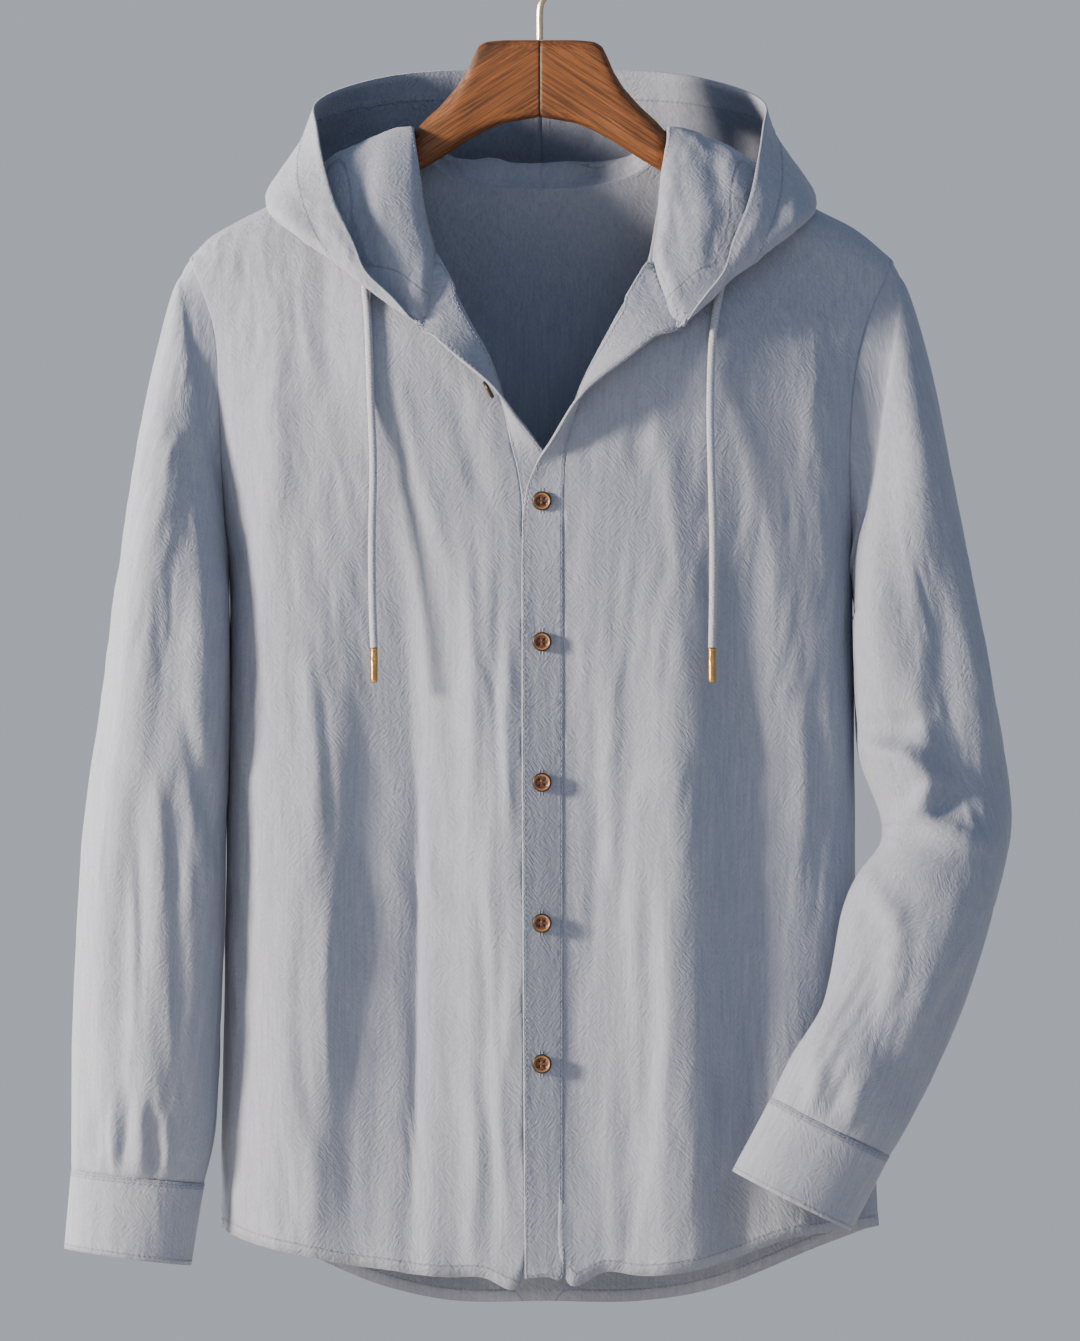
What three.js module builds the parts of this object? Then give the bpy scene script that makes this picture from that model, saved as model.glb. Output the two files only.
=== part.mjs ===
// A long-sleeved hooded shirt on a wooden hanger. Millimetres, +Z up, the front of the shirt faces -Y,
// and the origin is the inside of the hook's crown. Left and right are as seen from the front.
import * as THREE from 'three';

// Cloth walls and the gap left at every seam
const CLOTH = 1.4;
const DOUBLE_CLOTH = 1.8;
const SEAM = 0.4;

// Front bands
const BAND_LIFT = 2.3;
const LIFT_FADES = { from: 20, to: 90 };

// Shoulders: the cloth's bend over the hanger, and how the body deepens below it
const SHOULDER_BEND = 24;
const DEEPEN_OVER = 160;
const FRONT_DEPTH = 58;
const BACK_DEPTH = 54;

// Buttons
const BUTTON = { radius: 6.35, thick: 2.6, hole: 0.9, spread: 1.7, gap: 0.35 };
const BUTTON_X = 1.3;
const BUTTON_TOP_Z = -380;
const BUTTON_SPACING = 92.2;
const BUTTON_COUNT = 5;
const LOOSE_BUTTON = { place: [-32.6, -70, -306.8], turn: -2.07 };

// Drawstrings
const CORD_RADIUS = 2.65;
const CORD_SIDES = 8;
const CORD_STEPS = 36;
const AGLET = { radius: 2.6, length: 22.6, gap: 0.35 };

// Hanger
const WOOD_GAP = 0.15;
const HOOK_WIRE = 2.15;
const HOOK_BEND = 21;
const WOOD_TOP = -75;

// Smooth value of a column at a place between the rows of a table
function lookup(rows, by, column, at) {
  const last = rows.length - 1;
  if (at <= rows[0][by]) return rows[0][column];
  if (at >= rows[last][by]) return rows[last][column];
  let i = 0;
  while (rows[i + 1][by] < at) i += 1;
  const slope = (a, b) => (rows[b][column] - rows[a][column]) / (rows[b][by] - rows[a][by]);
  const width = rows[i + 1][by] - rows[i][by];
  const start = slope(Math.max(i - 1, 0), i + 1);
  const end = slope(i, Math.min(i + 2, last));
  const t = (at - rows[i][by]) / width;
  const rise = t * t * (3 - 2 * t);
  return rows[i][column] * (1 - rise) + rows[i + 1][column] * rise
    + width * t * (1 - t) * ((1 - t) * start - t * end);
}

function smoothstep(from, to, at) {
  const t = Math.min(Math.max((at - from) / (to - from), 0), 1);
  return t * t * (3 - 2 * t);
}

// The body's widest outline. Above the armpits it runs outside the armholes, which keeps them open.
const OUTLINE = [
  { z: -910, left: 210.6, right: 223.1 },
  { z: -858, left: 210.6, right: 223.1 },
  { z: -820, left: 210.2, right: 222.0 },
  { z: -746, left: 208.0, right: 214.0 },
  { z: -641, left: 205.0, right: 207.2 },
  { z: -511, left: 202.2, right: 205.3 },
  { z: -437, left: 202.6, right: 204.6 },
  { z: -418, left: 203.4, right: 205.4 },
  { z: -360, left: 214.0, right: 214.0 },
  { z: -300, left: 232.0, right: 229.0 },
  { z: -226, left: 252.0, right: 252.0 },
  { z: -110, left: 264.0, right: 264.0 },
];

// The line over the shoulders, which the hanger's arms carry
const SHOULDERS = [
  { x: -252, z: -240.0 },
  { x: -231, z: -219.0 },
  { x: -218.5, z: -206.0 },
  { x: -199.3, z: -194.5 },
  { x: -179.5, z: -184.5 },
  { x: -141, z: -161.5 },
  { x: -112, z: -147.0 },
  { x: -88.5, z: -136.5 },
  { x: -60, z: -124.0 },
  { x: 0, z: -112.0 },
  { x: 60, z: -124.0 },
  { x: 88.5, z: -136.5 },
  { x: 112, z: -147.0 },
  { x: 141, z: -161.5 },
  { x: 181.5, z: -186.0 },
  { x: 206.6, z: -199.0 },
  { x: 219.8, z: -209.0 },
  { x: 233, z: -221.0 },
  { x: 252, z: -241.0 },
];

// The largest vertical folds: where each runs at its top and foot, its half width and its height.
// A negative height is a trough.
const FRONT_FOLDS = [
  { top: -146, foot: -168, width: 22, height: 6, from: -900, to: -300 },
  { top: -112, foot: -124, width: 20, height: -6, from: -900, to: -330 },
  { top: -76, foot: -86, width: 24, height: 6, from: -900, to: -300 },
  { top: -40, foot: -44, width: 20, height: -5, from: -900, to: -440 },
  { top: 50, foot: 44, width: 22, height: -5, from: -900, to: -420 },
  { top: 86, foot: 90, width: 24, height: 7, from: -900, to: -300 },
  { top: 122, foot: 132, width: 21, height: -6, from: -900, to: -340 },
  { top: 152, foot: 170, width: 22, height: 5, from: -900, to: -300 },
];
const BACK_FOLDS = [
  { top: -150, foot: -158, width: 28, height: 6, from: -910, to: -330 },
  { top: -96, foot: -106, width: 29, height: -7, from: -910, to: -300 },
  { top: -40, foot: -48, width: 30, height: 6, from: -910, to: -300 },
  { top: 20, foot: 18, width: 30, height: -7, from: -910, to: -340 },
  { top: 78, foot: 84, width: 28, height: 7, from: -910, to: -320 },
  { top: 136, foot: 148, width: 28, height: -6, from: -910, to: -320 },
];

const FRONT = -1;
const BACK = 1;

function foldHeight(x, z, folds) {
  let sum = 0;
  for (const fold of folds) {
    const along = (fold.to - z) / (fold.to - fold.from);
    const middle = fold.top + (fold.foot - fold.top) * Math.min(Math.max(along, 0), 1);
    const off = (x - middle) / fold.width;
    sum += fold.height * smoothstep(0, 0.55, along) * Math.exp(-off * off);
  }
  return sum;
}

// Half of the body's depth at a place, squared: it falls evenly to nothing at the outline
function depthSquared(x, z, side) {
  const half = lookup(OUTLINE, 'z', x < 0 ? 'left' : 'right', z);
  const inside = Math.max(1 - Math.abs(x / half) ** 3, 0);
  const below = lookup(SHOULDERS, 'x', 'z', x) - z;
  if (below <= 0) return 0;
  const bend = 1 - Math.max(1 - below / SHOULDER_BEND, 0) ** 2;
  const full = side === FRONT ? FRONT_DEPTH : BACK_DEPTH;
  const deep = SHOULDER_BEND + (full - SHOULDER_BEND) * smoothstep(0, DEEPEN_OVER, below);
  const folds = foldHeight(x, z, side === FRONT ? FRONT_FOLDS : BACK_FOLDS);
  return (deep + folds * Math.sqrt(inside)) ** 2 * inside * bend;
}

function bodyY(x, z, side) {
  return side * Math.sqrt(depthSquared(x, z, side));
}

// A point of the body's cloth and the way out from it
function bodyPoint(place, z, side) {
  const widest = lookup(OUTLINE, 'z', place < 0 ? 'left' : 'right', z);
  const x = Math.min(Math.max(place, -widest), widest);
  const y = side * Math.max(Math.sqrt(depthSquared(x, z, side)), SEAM / 2);
  const d = 0.5;
  const acrossX = (depthSquared(x + d, z, side) - depthSquared(x - d, z, side)) / (2 * d);
  const alongZ = (depthSquared(x, z + d, side) - depthSquared(x, z - d, side)) / (2 * d);
  const out = new THREE.Vector3(-acrossX, 2 * y, -alongZ);
  if (out.lengthSq() < 1e-9) out.set(Math.sign(x), 0, 0.2);
  return { point: new THREE.Vector3(x, y, z), out: out.normalize() };
}

// Joins an outer and an inner grid of points into one closed wall. A tube's rows close on themselves.
function wall(outer, inner, tube = false) {
  const rows = outer.length;
  const columns = outer[0].length;
  const around = tube ? columns : columns - 1;
  const positions = [];
  for (const grid of [outer, inner]) {
    for (const row of grid) {
      for (const p of row) positions.push(p.x, p.y, p.z);
    }
  }
  const index = (layer, i, j) => layer * rows * columns + i * columns + (j % columns);
  const faces = [];
  const quad = (a, b, c, d) => faces.push(a, b, c, a, c, d);
  for (let i = 0; i < rows - 1; i += 1) {
    for (let j = 0; j < around; j += 1) {
      quad(index(0, i, j), index(0, i, j + 1), index(0, i + 1, j + 1), index(0, i + 1, j));
      quad(index(1, i, j), index(1, i + 1, j), index(1, i + 1, j + 1), index(1, i, j + 1));
    }
  }
  for (let j = 0; j < around; j += 1) {
    const last = rows - 1;
    quad(index(0, 0, j), index(1, 0, j), index(1, 0, j + 1), index(0, 0, j + 1));
    quad(index(0, last, j), index(0, last, j + 1), index(1, last, j + 1), index(1, last, j));
  }
  if (!tube) {
    for (let i = 0; i < rows - 1; i += 1) {
      const last = columns - 1;
      quad(index(0, i, 0), index(0, i + 1, 0), index(1, i + 1, 0), index(1, i, 0));
      quad(index(0, i, last), index(1, i, last), index(1, i + 1, last), index(0, i + 1, last));
    }
  }
  return facingOut(positions, faces);
}

// A solid through closed rings, with a cap on each end
function loft(rings) {
  const count = rings[0].length;
  const positions = rings.flat().flatMap((p) => [p.x, p.y, p.z]);
  const faces = [];
  for (let i = 0; i < rings.length - 1; i += 1) {
    for (let j = 0; j < count; j += 1) {
      const a = i * count + j;
      const b = i * count + ((j + 1) % count);
      faces.push(a, b, b + count, a, b + count, a + count);
    }
  }
  const end = (rings.length - 1) * count;
  for (let j = 1; j < count - 1; j += 1) {
    faces.push(0, j + 1, j, end, end + j, end + j + 1);
  }
  return facingOut(positions, faces);
}

// Turns the faces over if the solid they close is inside out
function facingOut(positions, faces) {
  const corner = (i) => new THREE.Vector3().fromArray(positions, faces[i] * 3);
  let volume = 0;
  for (let i = 0; i < faces.length; i += 3) {
    volume += corner(i).dot(corner(i + 1).cross(corner(i + 2)));
  }
  if (volume < 0) {
    for (let i = 0; i < faces.length; i += 3) {
      [faces[i + 1], faces[i + 2]] = [faces[i + 2], faces[i + 1]];
    }
  }
  const geometry = new THREE.BufferGeometry();
  geometry.setAttribute('position', new THREE.Float32BufferAttribute(positions, 3));
  geometry.setIndex(faces);
  geometry.computeVertexNormals();
  return geometry;
}

// The grid again, moved along its own surface normals
function offsetGrid(grid, distance, tube = false) {
  const at = (i, j) => {
    const row = grid[Math.min(Math.max(i, 0), grid.length - 1)];
    return tube ? row[(j + row.length) % row.length] : row[Math.min(Math.max(j, 0), row.length - 1)];
  };
  return grid.map((row, i) => row.map((p, j) => {
    const along = at(i + 1, j).clone().sub(at(i - 1, j));
    const across = at(i, j + 1).clone().sub(at(i, j - 1));
    return p.clone().addScaledVector(along.cross(across).normalize(), distance);
  }));
}

function steps(count) {
  return Array.from({ length: count + 1 }, (_, i) => i / count);
}

// Fills the area between four edges, each a function from 0 to 1 that gives x and z
function patch(u, v, edges) {
  const { inner, outer, foot, top } = edges;
  const [i, o, f, t] = [inner(v), outer(v), foot(u), top(u)];
  const [i0, i1, o0, o1] = [inner(0), inner(1), outer(0), outer(1)];
  const blend = (key) => (1 - u) * i[key] + u * o[key] + (1 - v) * f[key] + v * t[key]
    - (1 - u) * ((1 - v) * i0[key] + v * i1[key]) - u * ((1 - v) * o0[key] + v * o1[key]);
  return { x: blend('x'), z: blend('z') };
}

// A side seam runs on the body's outline up to the armpit, and the armhole follows its own rows
function sideOf({ rows, armpit }) {
  const sign = Math.sign(rows[0].x);
  const outline = sign < 0 ? 'left' : 'right';
  return (v) => {
    const z = lookup(rows, 'v', 'z', v);
    const x = v < armpit ? sign * lookup(OUTLINE, 'z', outline, z) : lookup(rows, 'v', 'x', v);
    return { x, z };
  };
}

// A table's edge as a function of how far up the panel it is
function edgeOf(rows) {
  return (v) => ({ x: lookup(rows, 'v', 'x', v), z: lookup(rows, 'v', 'z', v) });
}

function lineBetween(a, b, height) {
  return (u) => {
    const x = a.x + (b.x - a.x) * u;
    const z = a.z + (b.z - a.z) * u;
    return { x, z: u > 0 && u < 1 ? height(x) : z };
  };
}

// Side seams and armholes, from the hem up
const ARMHOLE_LEFT = [
  { v: 0, x: -210.6, z: -858.4 },
  { v: 0.2, x: -208.0, z: -746.0 },
  { v: 0.38, x: -204.0, z: -600.0 },
  { v: 0.5, x: -202.2, z: -500.0 },
  { v: 0.6, x: -203.4, z: -418.2 },
  { v: 0.68, x: -205.6, z: -391.8 },
  { v: 0.77, x: -209.6, z: -345.6 },
  { v: 0.85, x: -211.9, z: -299.4 },
  { v: 0.9, x: -213.8, z: -271.7 },
  { v: 0.95, x: -219.5, z: -250.0 },
  { v: 1, x: -231.0, z: -219.0 },
];
const ARMHOLE_RIGHT = [
  { v: 0, x: 223.1, z: -857.4 },
  { v: 0.2, x: 214.0, z: -746.0 },
  { v: 0.38, x: 206.3, z: -600.0 },
  { v: 0.5, x: 205.2, z: -500.0 },
  { v: 0.58, x: 204.6, z: -437.0 },
  { v: 0.66, x: 204.0, z: -405.0 },
  { v: 0.75, x: 203.2, z: -350.0 },
  { v: 0.83, x: 205.9, z: -306.7 },
  { v: 0.89, x: 210.6, z: -278.0 },
  { v: 0.95, x: 219.0, z: -252.0 },
  { v: 1, x: 233.0, z: -221.0 },
];
const SIDE_LEFT = { rows: ARMHOLE_LEFT, armpit: 0.6 };
const SIDE_RIGHT = { rows: ARMHOLE_RIGHT, armpit: 0.58 };

// The hems, from side to side
const HEM_FRONT = [
  { x: -210.6, z: -858.4 },
  { x: -191.4, z: -866.3 },
  { x: -134.0, z: -879.5 },
  { x: -92.4, z: -885.5 },
  { x: -37.0, z: -890.3 },
  { x: -9.9, z: -889.4 },
  { x: 30.4, z: -886.8 },
  { x: 85.8, z: -886.8 },
  { x: 125.4, z: -877.6 },
  { x: 165.0, z: -863.7 },
  { x: 223.1, z: -857.4 },
];
const HEM_BACK = [
  { x: -210.6, z: -858.4 },
  { x: -163.0, z: -875.0 },
  { x: -108.0, z: -898.0 },
  { x: -56.0, z: -910.0 },
  { x: 6.6, z: -909.6 },
  { x: 66.0, z: -910.0 },
  { x: 115.5, z: -901.5 },
  { x: 184.8, z: -872.9 },
  { x: 223.1, z: -857.4 },
];

// Each front ends at its band: the band's seam up to the roll of the open corner, then the neckline
const FRONT_EDGE_LEFT = [
  { v: 0, x: -11.6, z: -889.6 },
  { v: 0.5, x: -11.6, z: -470.0 },
  { v: 0.62, x: -12.8, z: -372.0 },
  { v: 0.66, x: -18.5, z: -347.6 },
  { v: 0.7, x: -23.1, z: -325.8 },
  { v: 0.74, x: -27.1, z: -308.0 },
  { v: 0.8, x: -37.6, z: -279.6 },
  { v: 0.84, x: -47.5, z: -263.1 },
  { v: 0.9, x: -62.0, z: -234.1 },
  { v: 0.92, x: -69.6, z: -220.2 },
  { v: 0.96, x: -78.5, z: -185.0 },
  { v: 1, x: -88.5, z: -136.5 },
];
const FRONT_EDGE_RIGHT = [
  { v: 0, x: 16.2, z: -888.4 },
  { v: 0.5, x: 16.2, z: -470.0 },
  { v: 0.62, x: 16.2, z: -369.0 },
  { v: 0.66, x: 18.5, z: -343.6 },
  { v: 0.7, x: 23.8, z: -323.8 },
  { v: 0.74, x: 28.0, z: -305.0 },
  { v: 0.8, x: 40.3, z: -281.0 },
  { v: 0.84, x: 48.9, z: -265.1 },
  { v: 0.9, x: 63.4, z: -240.0 },
  { v: 0.92, x: 71.9, z: -225.5 },
  { v: 0.96, x: 79.5, z: -187.0 },
  { v: 1, x: 88.5, z: -136.5 },
];

const ROWS = 18;
const FRONT_COLUMNS = 13;
const BACK_COLUMNS = 24;
const NECK_COLUMN = 8;

// Rows lie closer together towards the shoulder, where the cloth bends
const rowPlaces = steps(ROWS).map((r) => r + 0.29 * Math.sin(Math.PI * r));

function frontPanel(frontEdge, side, lifted) {
  const inner = edgeOf(frontEdge);
  const outer = sideOf(side);
  const foot = lineBetween(inner(0), outer(0), (x) => lookup(HEM_FRONT, 'x', 'z', x));
  const top = lineBetween(inner(1), outer(1), (x) => lookup(SHOULDERS, 'x', 'z', x));
  const columns = steps(FRONT_COLUMNS).map((c) => 0.4 * c + 0.6 * Math.sin((c * Math.PI) / 2));
  const outerGrid = [];
  const innerGrid = [];
  for (const v of rowPlaces) {
    const points = columns.map((u) => {
      const { x, z } = patch(u, v, { inner, outer, foot, top });
      const at = bodyPoint(x, z, FRONT);
      const lift = lifted ? BAND_LIFT * (1 - smoothstep(LIFT_FADES.from, LIFT_FADES.to, x)) : 0;
      at.point.addScaledVector(at.out, lift * (1 - smoothstep(0.93, 1, v)));
      return at;
    });
    outerGrid.push(points.map((at) => at.point));
    innerGrid.push(points.map((at) => at.point.clone().addScaledVector(at.out, -CLOTH)));
  }
  return wall(outerGrid, innerGrid);
}

// The back's neckline, from the shoulder to the middle
const NECK_BACK = [
  { u: 0, x: 88.5, z: -136.5 },
  { u: 0.33, x: 82.5, z: -149.0 },
  { u: 0.66, x: 56.0, z: -167.0 },
  { u: 1, x: 0, z: -172.7 },
];

function backPanel() {
  const inner = sideOf(SIDE_LEFT);
  const outer = sideOf(SIDE_RIGHT);
  const columns = steps(BACK_COLUMNS).map((c) => 0.35 * c + 0.325 * (1 - Math.cos(Math.PI * c)));
  const neckStart = columns[NECK_COLUMN];
  const foot = lineBetween(inner(0), outer(0), (x) => lookup(HEM_BACK, 'x', 'z', x));
  const shoulderLeft = lineBetween(inner(1), { x: -88.5, z: -136.5 }, (x) => lookup(SHOULDERS, 'x', 'z', x));
  const shoulderRight = lineBetween({ x: 88.5, z: -136.5 }, outer(1), (x) => lookup(SHOULDERS, 'x', 'z', x));
  const top = (u) => {
    if (u <= neckStart) return shoulderLeft(u / neckStart);
    if (u >= 1 - neckStart) return shoulderRight((u - 1 + neckStart) / neckStart);
    const across = (u - 0.5) / (0.5 - neckStart);
    const from = 1 - Math.abs(across);
    return { x: Math.sign(across) * lookup(NECK_BACK, 'u', 'x', from), z: lookup(NECK_BACK, 'u', 'z', from) };
  };
  const outerGrid = [];
  const innerGrid = [];
  for (const v of rowPlaces) {
    const points = columns.map((u) => {
      const { x, z } = patch(u, v, { inner, outer, foot, top });
      return bodyPoint(x, z, BACK);
    });
    outerGrid.push(points.map((at) => at.point));
    innerGrid.push(points.map((at) => at.point.clone().addScaledVector(at.out, -CLOTH)));
  }
  return wall(outerGrid, innerGrid);
}

// Where each band's free edge runs, beside its seam, and how far it stands forward of the body.
// At the open corner the band turns out over the front.
const BAND_LEFT = [
  { v: 0, x: 14.5, z: -888.6, forward: 0 },
  { v: 0.5, x: 14.5, z: -470.0, forward: 0 },
  { v: 0.62, x: 13.2, z: -372.0, forward: 0 },
  { v: 0.66, x: 2.0, z: -347.6, forward: 0.6 },
  { v: 0.7, x: -15.8, z: -325.8, forward: 16 },
  { v: 0.74, x: -30.4, z: -307.4, forward: 25 },
  { v: 0.8, x: -53.0, z: -288.0, forward: 17 },
  { v: 0.84, x: -65.3, z: -277.0, forward: 12 },
  { v: 0.9, x: -72.6, z: -270.0, forward: 9 },
  { v: 0.92, x: -74.6, z: -267.8, forward: 8 },
];
const BAND_RIGHT = [
  { v: 0, x: -9.9, z: -889.4, forward: BAND_LIFT },
  { v: 0.5, x: -11.9, z: -470.0, forward: BAND_LIFT },
  { v: 0.6, x: -11.4, z: -392.0, forward: BAND_LIFT },
  { v: 0.63, x: -7.8, z: -366.0, forward: BAND_LIFT },
  { v: 0.66, x: 2.6, z: -350.0, forward: 8 },
  { v: 0.7, x: 17.6, z: -325.0, forward: 20 },
  { v: 0.74, x: 31.0, z: -308.0, forward: 26 },
  { v: 0.8, x: 55.0, z: -289.0, forward: 18 },
  { v: 0.84, x: 72.6, z: -275.0, forward: 12 },
  { v: 0.9, x: 84.0, z: -266.5, forward: 9 },
  { v: 0.92, x: 87.8, z: -264.4, forward: 8 },
];
const BAND_ROWS = 30;
const BAND_COLUMNS = 3;
const BAND_TOP = 0.92;

// Points of a band at one height, from its seam to its free edge
function bandRow(v, seamEdge, band, seamLift) {
  const seam = edgeOf(seamEdge)(v);
  const free = edgeOf(band)(v);
  const forward = lookup(band, 'v', 'forward', v);
  const toFree = Math.sign(free.x - seam.x || 1);
  const turned = smoothstep(0.66, 0.8, v);
  const start = new THREE.Vector3(seam.x + SEAM * (v < 0.74 ? toFree : -toFree), 0, seam.z);
  start.y = bodyY(seam.x, seam.z, FRONT) - seamLift - SEAM * 3 * turned;
  const end = new THREE.Vector3(free.x, bodyY(free.x, free.z, FRONT) - forward, free.z);
  return steps(BAND_COLUMNS).map((w) => {
    const p = start.clone().lerp(end, w);
    const flat = bodyY(p.x, p.z, FRONT) - seamLift;
    p.y = p.y * turned + Math.min(flat, p.y) * (1 - turned);
    return p;
  });
}

function frontBand(seamEdge, band, seamLift, inward) {
  const outer = steps(BAND_ROWS).map((r) => bandRow(r * BAND_TOP, seamEdge, band, seamLift));
  return wall(outer, offsetGrid(outer, inward * DOUBLE_CLOTH));
}

// Sleeves: each row is a section's outer and inner end, its middle's y and its half depth
const SLEEVE_LEFT = [
  { at: 0, ox: -236.0, oz: -229.0, ix: -204.6, iz: -419.5, y: 0, deep: 26 },
  { at: 0.06, ox: -242.5, oz: -241.0, ix: -204.9, iz: -422.5, y: -2, deep: 31 },
  { at: 0.13, ox: -252.5, oz: -281.0, ix: -205.2, iz: -426.0, y: -4, deep: 37 },
  { at: 0.2, ox: -261.0, oz: -320.0, ix: -205.2, iz: -430.0, y: -6, deep: 43 },
  { at: 0.27, ox: -270.0, oz: -372.0, ix: -205.0, iz: -434.5, y: -8, deep: 48 },
  { at: 0.34, ox: -279.0, oz: -433.0, ix: -204.6, iz: -441.0, y: -9, deep: 51 },
  { at: 0.46, ox: -289.0, oz: -511.0, ix: -204.6, iz: -513.0, y: -10, deep: 52 },
  { at: 0.58, ox: -298.5, oz: -573.0, ix: -206.4, iz: -587.0, y: -11, deep: 50 },
  { at: 0.69, ox: -304.0, oz: -636.0, ix: -207.6, iz: -645.0, y: -12, deep: 48 },
  { at: 0.79, ox: -307.0, oz: -693.0, ix: -209.4, iz: -699.0, y: -13, deep: 45 },
  { at: 0.88, ox: -308.4, oz: -748.0, ix: -211.2, iz: -752.0, y: -14, deep: 41 },
  { at: 0.94, ox: -308.6, oz: -788.0, ix: -213.4, iz: -793.0, y: -14, deep: 36 },
  { at: 1, ox: -308.8, oz: -819.3, ix: -221.1, iz: -828.2, y: -14, deep: 29 },
];
const SLEEVE_RIGHT = [
  { at: 0, ox: 237.0, oz: -230.0, ix: 206.2, iz: -439.0, y: 0, deep: 26 },
  { at: 0.05, ox: 243.0, oz: -241.0, ix: 206.6, iz: -442.5, y: -2, deep: 30 },
  { at: 0.1, ox: 252.0, oz: -270.0, ix: 207.0, iz: -446.5, y: -4, deep: 35 },
  { at: 0.16, ox: 262.0, oz: -310.0, ix: 207.2, iz: -451.0, y: -6, deep: 41 },
  { at: 0.22, ox: 272.0, oz: -365.0, ix: 207.2, iz: -456.0, y: -8, deep: 47 },
  { at: 0.29, ox: 284.0, oz: -425.0, ix: 207.0, iz: -463.0, y: -10, deep: 51 },
  { at: 0.38, ox: 300.6, oz: -510.0, ix: 207.4, iz: -520.0, y: -13, deep: 53 },
  { at: 0.46, ox: 308.0, oz: -557.0, ix: 212.6, iz: -558.0, y: -20, deep: 52 },
  { at: 0.53, ox: 310.0, oz: -591.0, ix: 225.0, iz: -592.0, y: -31, deep: 49 },
  { at: 0.59, ox: 306.8, oz: -614.0, ix: 220.5, iz: -609.0, y: -42, deep: 46 },
  { at: 0.65, ox: 300.0, oz: -638.0, ix: 209.2, iz: -624.0, y: -50, deep: 43 },
  { at: 0.72, ox: 289.5, oz: -676.0, ix: 199.3, iz: -643.0, y: -58, deep: 41 },
  { at: 0.79, ox: 276.0, oz: -716.0, ix: 192.7, iz: -671.0, y: -67, deep: 39 },
  { at: 0.85, ox: 261.5, oz: -748.0, ix: 187.5, iz: -704.0, y: -74, deep: 37 },
  { at: 0.91, ox: 247.8, oz: -773.5, ix: 174.0, iz: -727.5, y: -80, deep: 35 },
  { at: 0.96, ox: 237.6, oz: -792.5, ix: 161.0, iz: -748.0, y: -84, deep: 33 },
  { at: 1, ox: 228.6, oz: -807.6, ix: 151.4, iz: -768.6, y: -87, deep: 29 },
];
const CUFF_LEFT = [
  { at: 0, ox: -308.8, oz: -820.0, ix: -220.9, iz: -828.9, y: -14, deep: 29.5 },
  { at: 1, ox: -313.5, oz: -871.6, ix: -229.7, iz: -882.8, y: -14, deep: 31 },
];
const CUFF_RIGHT = [
  { at: 0, ox: 228.3, oz: -808.3, ix: 151.0, iz: -769.3, y: -87, deep: 29.5 },
  { at: 1, ox: 203.0, oz: -857.0, ix: 125.4, iz: -817.6, y: -88, deep: 31 },
];

// The sleeve's largest folds: places along and around it, with reach and height
const SLEEVE_FOLDS = [
  { along: 0.5, around: 1.1, reach: 0.3, turn: 0.28, height: 3.5 },
  { along: 0.62, around: 1.9, reach: 0.26, turn: 0.25, height: -3.5 },
  { along: 0.72, around: 0.7, reach: 0.22, turn: 0.24, height: -3 },
  { along: 0.84, around: 1.5, reach: 0.16, turn: 0.26, height: 3.5 },
  { along: 0.6, around: 4.2, reach: 0.3, turn: 0.35, height: -4 },
  { along: 0.8, around: 5.0, reach: 0.2, turn: 0.3, height: 4 },
];
const ELBOW_FOLDS = [
  { along: 0.46, around: 2.3, reach: 0.05, turn: 0.6, height: 5 },
  { along: 0.53, around: 2.0, reach: 0.04, turn: 0.7, height: -6 },
  { along: 0.6, around: 2.1, reach: 0.05, turn: 0.6, height: 6 },
  { along: 0.74, around: 0.9, reach: 0.16, turn: 0.3, height: -4 },
  { along: 0.84, around: 1.7, reach: 0.12, turn: 0.35, height: 4 },
];
const AROUND = 20;
const SLEEVE_ROWS = 19;

function sleeveFold(folds, along, angle) {
  let sum = 0;
  for (const fold of folds) {
    const a = (along - fold.along) / fold.reach;
    const b = (angle - fold.around) / fold.turn;
    sum += fold.height * Math.exp(-a * a - b * b);
  }
  return sum;
}

// One ring of a sleeve or cuff. Angle 0 is its outer end, and the first half turn is its front.
function ring(rows, at, folds) {
  const value = (column) => lookup(rows, 'at', column, at);
  const outer = new THREE.Vector3(value('ox'), value('y'), value('oz'));
  const inner = new THREE.Vector3(value('ix'), value('y'), value('iz'));
  const middle = outer.clone().lerp(inner, 0.5);
  const half = outer.clone().sub(middle);
  const deep = value('deep');
  return Array.from({ length: AROUND }, (_, j) => {
    const angle = (j / AROUND) * 2 * Math.PI;
    const fold = sleeveFold(folds, at, angle);
    const grow = 1 + fold / half.length();
    const p = middle.clone().addScaledVector(half, Math.cos(angle) * grow);
    p.y -= Math.sin(angle) * (deep + fold);
    return p;
  });
}

// The ring that meets the armhole, a seam's gap outside it
function armholeRing(side, sign) {
  return Array.from({ length: AROUND }, (_, j) => {
    const angle = (j / AROUND) * 2 * Math.PI;
    const up = (1 + Math.cos(angle)) / 2;
    const v = side.armpit + (1 - side.armpit) * up;
    const { x, z } = sideOf(side)(v);
    const face = Math.sin(angle) >= 0 ? FRONT : BACK;
    const y = Math.abs(Math.sin(angle)) < 1e-6 ? 0 : bodyY(x, z, face);
    const tip = smoothstep(0.9, 1, up);
    return new THREE.Vector3(x + sign * (SEAM * 2 + tip), y, z + SEAM * tip);
  });
}

function sleeve(rows, side, sign, folds) {
  const rings = steps(SLEEVE_ROWS - 1).map((r) => ring(rows, r ** 1.15, folds));
  const outer = [armholeRing(side, sign), ...rings];
  return wall(outer, offsetGrid(outer, sign * CLOTH, true), true);
}

function cuff(rows, sign) {
  const outer = steps(2).map((r) => ring(rows, r, []));
  return wall(outer, offsetGrid(outer, sign * DOUBLE_CLOTH, true), true);
}

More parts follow.
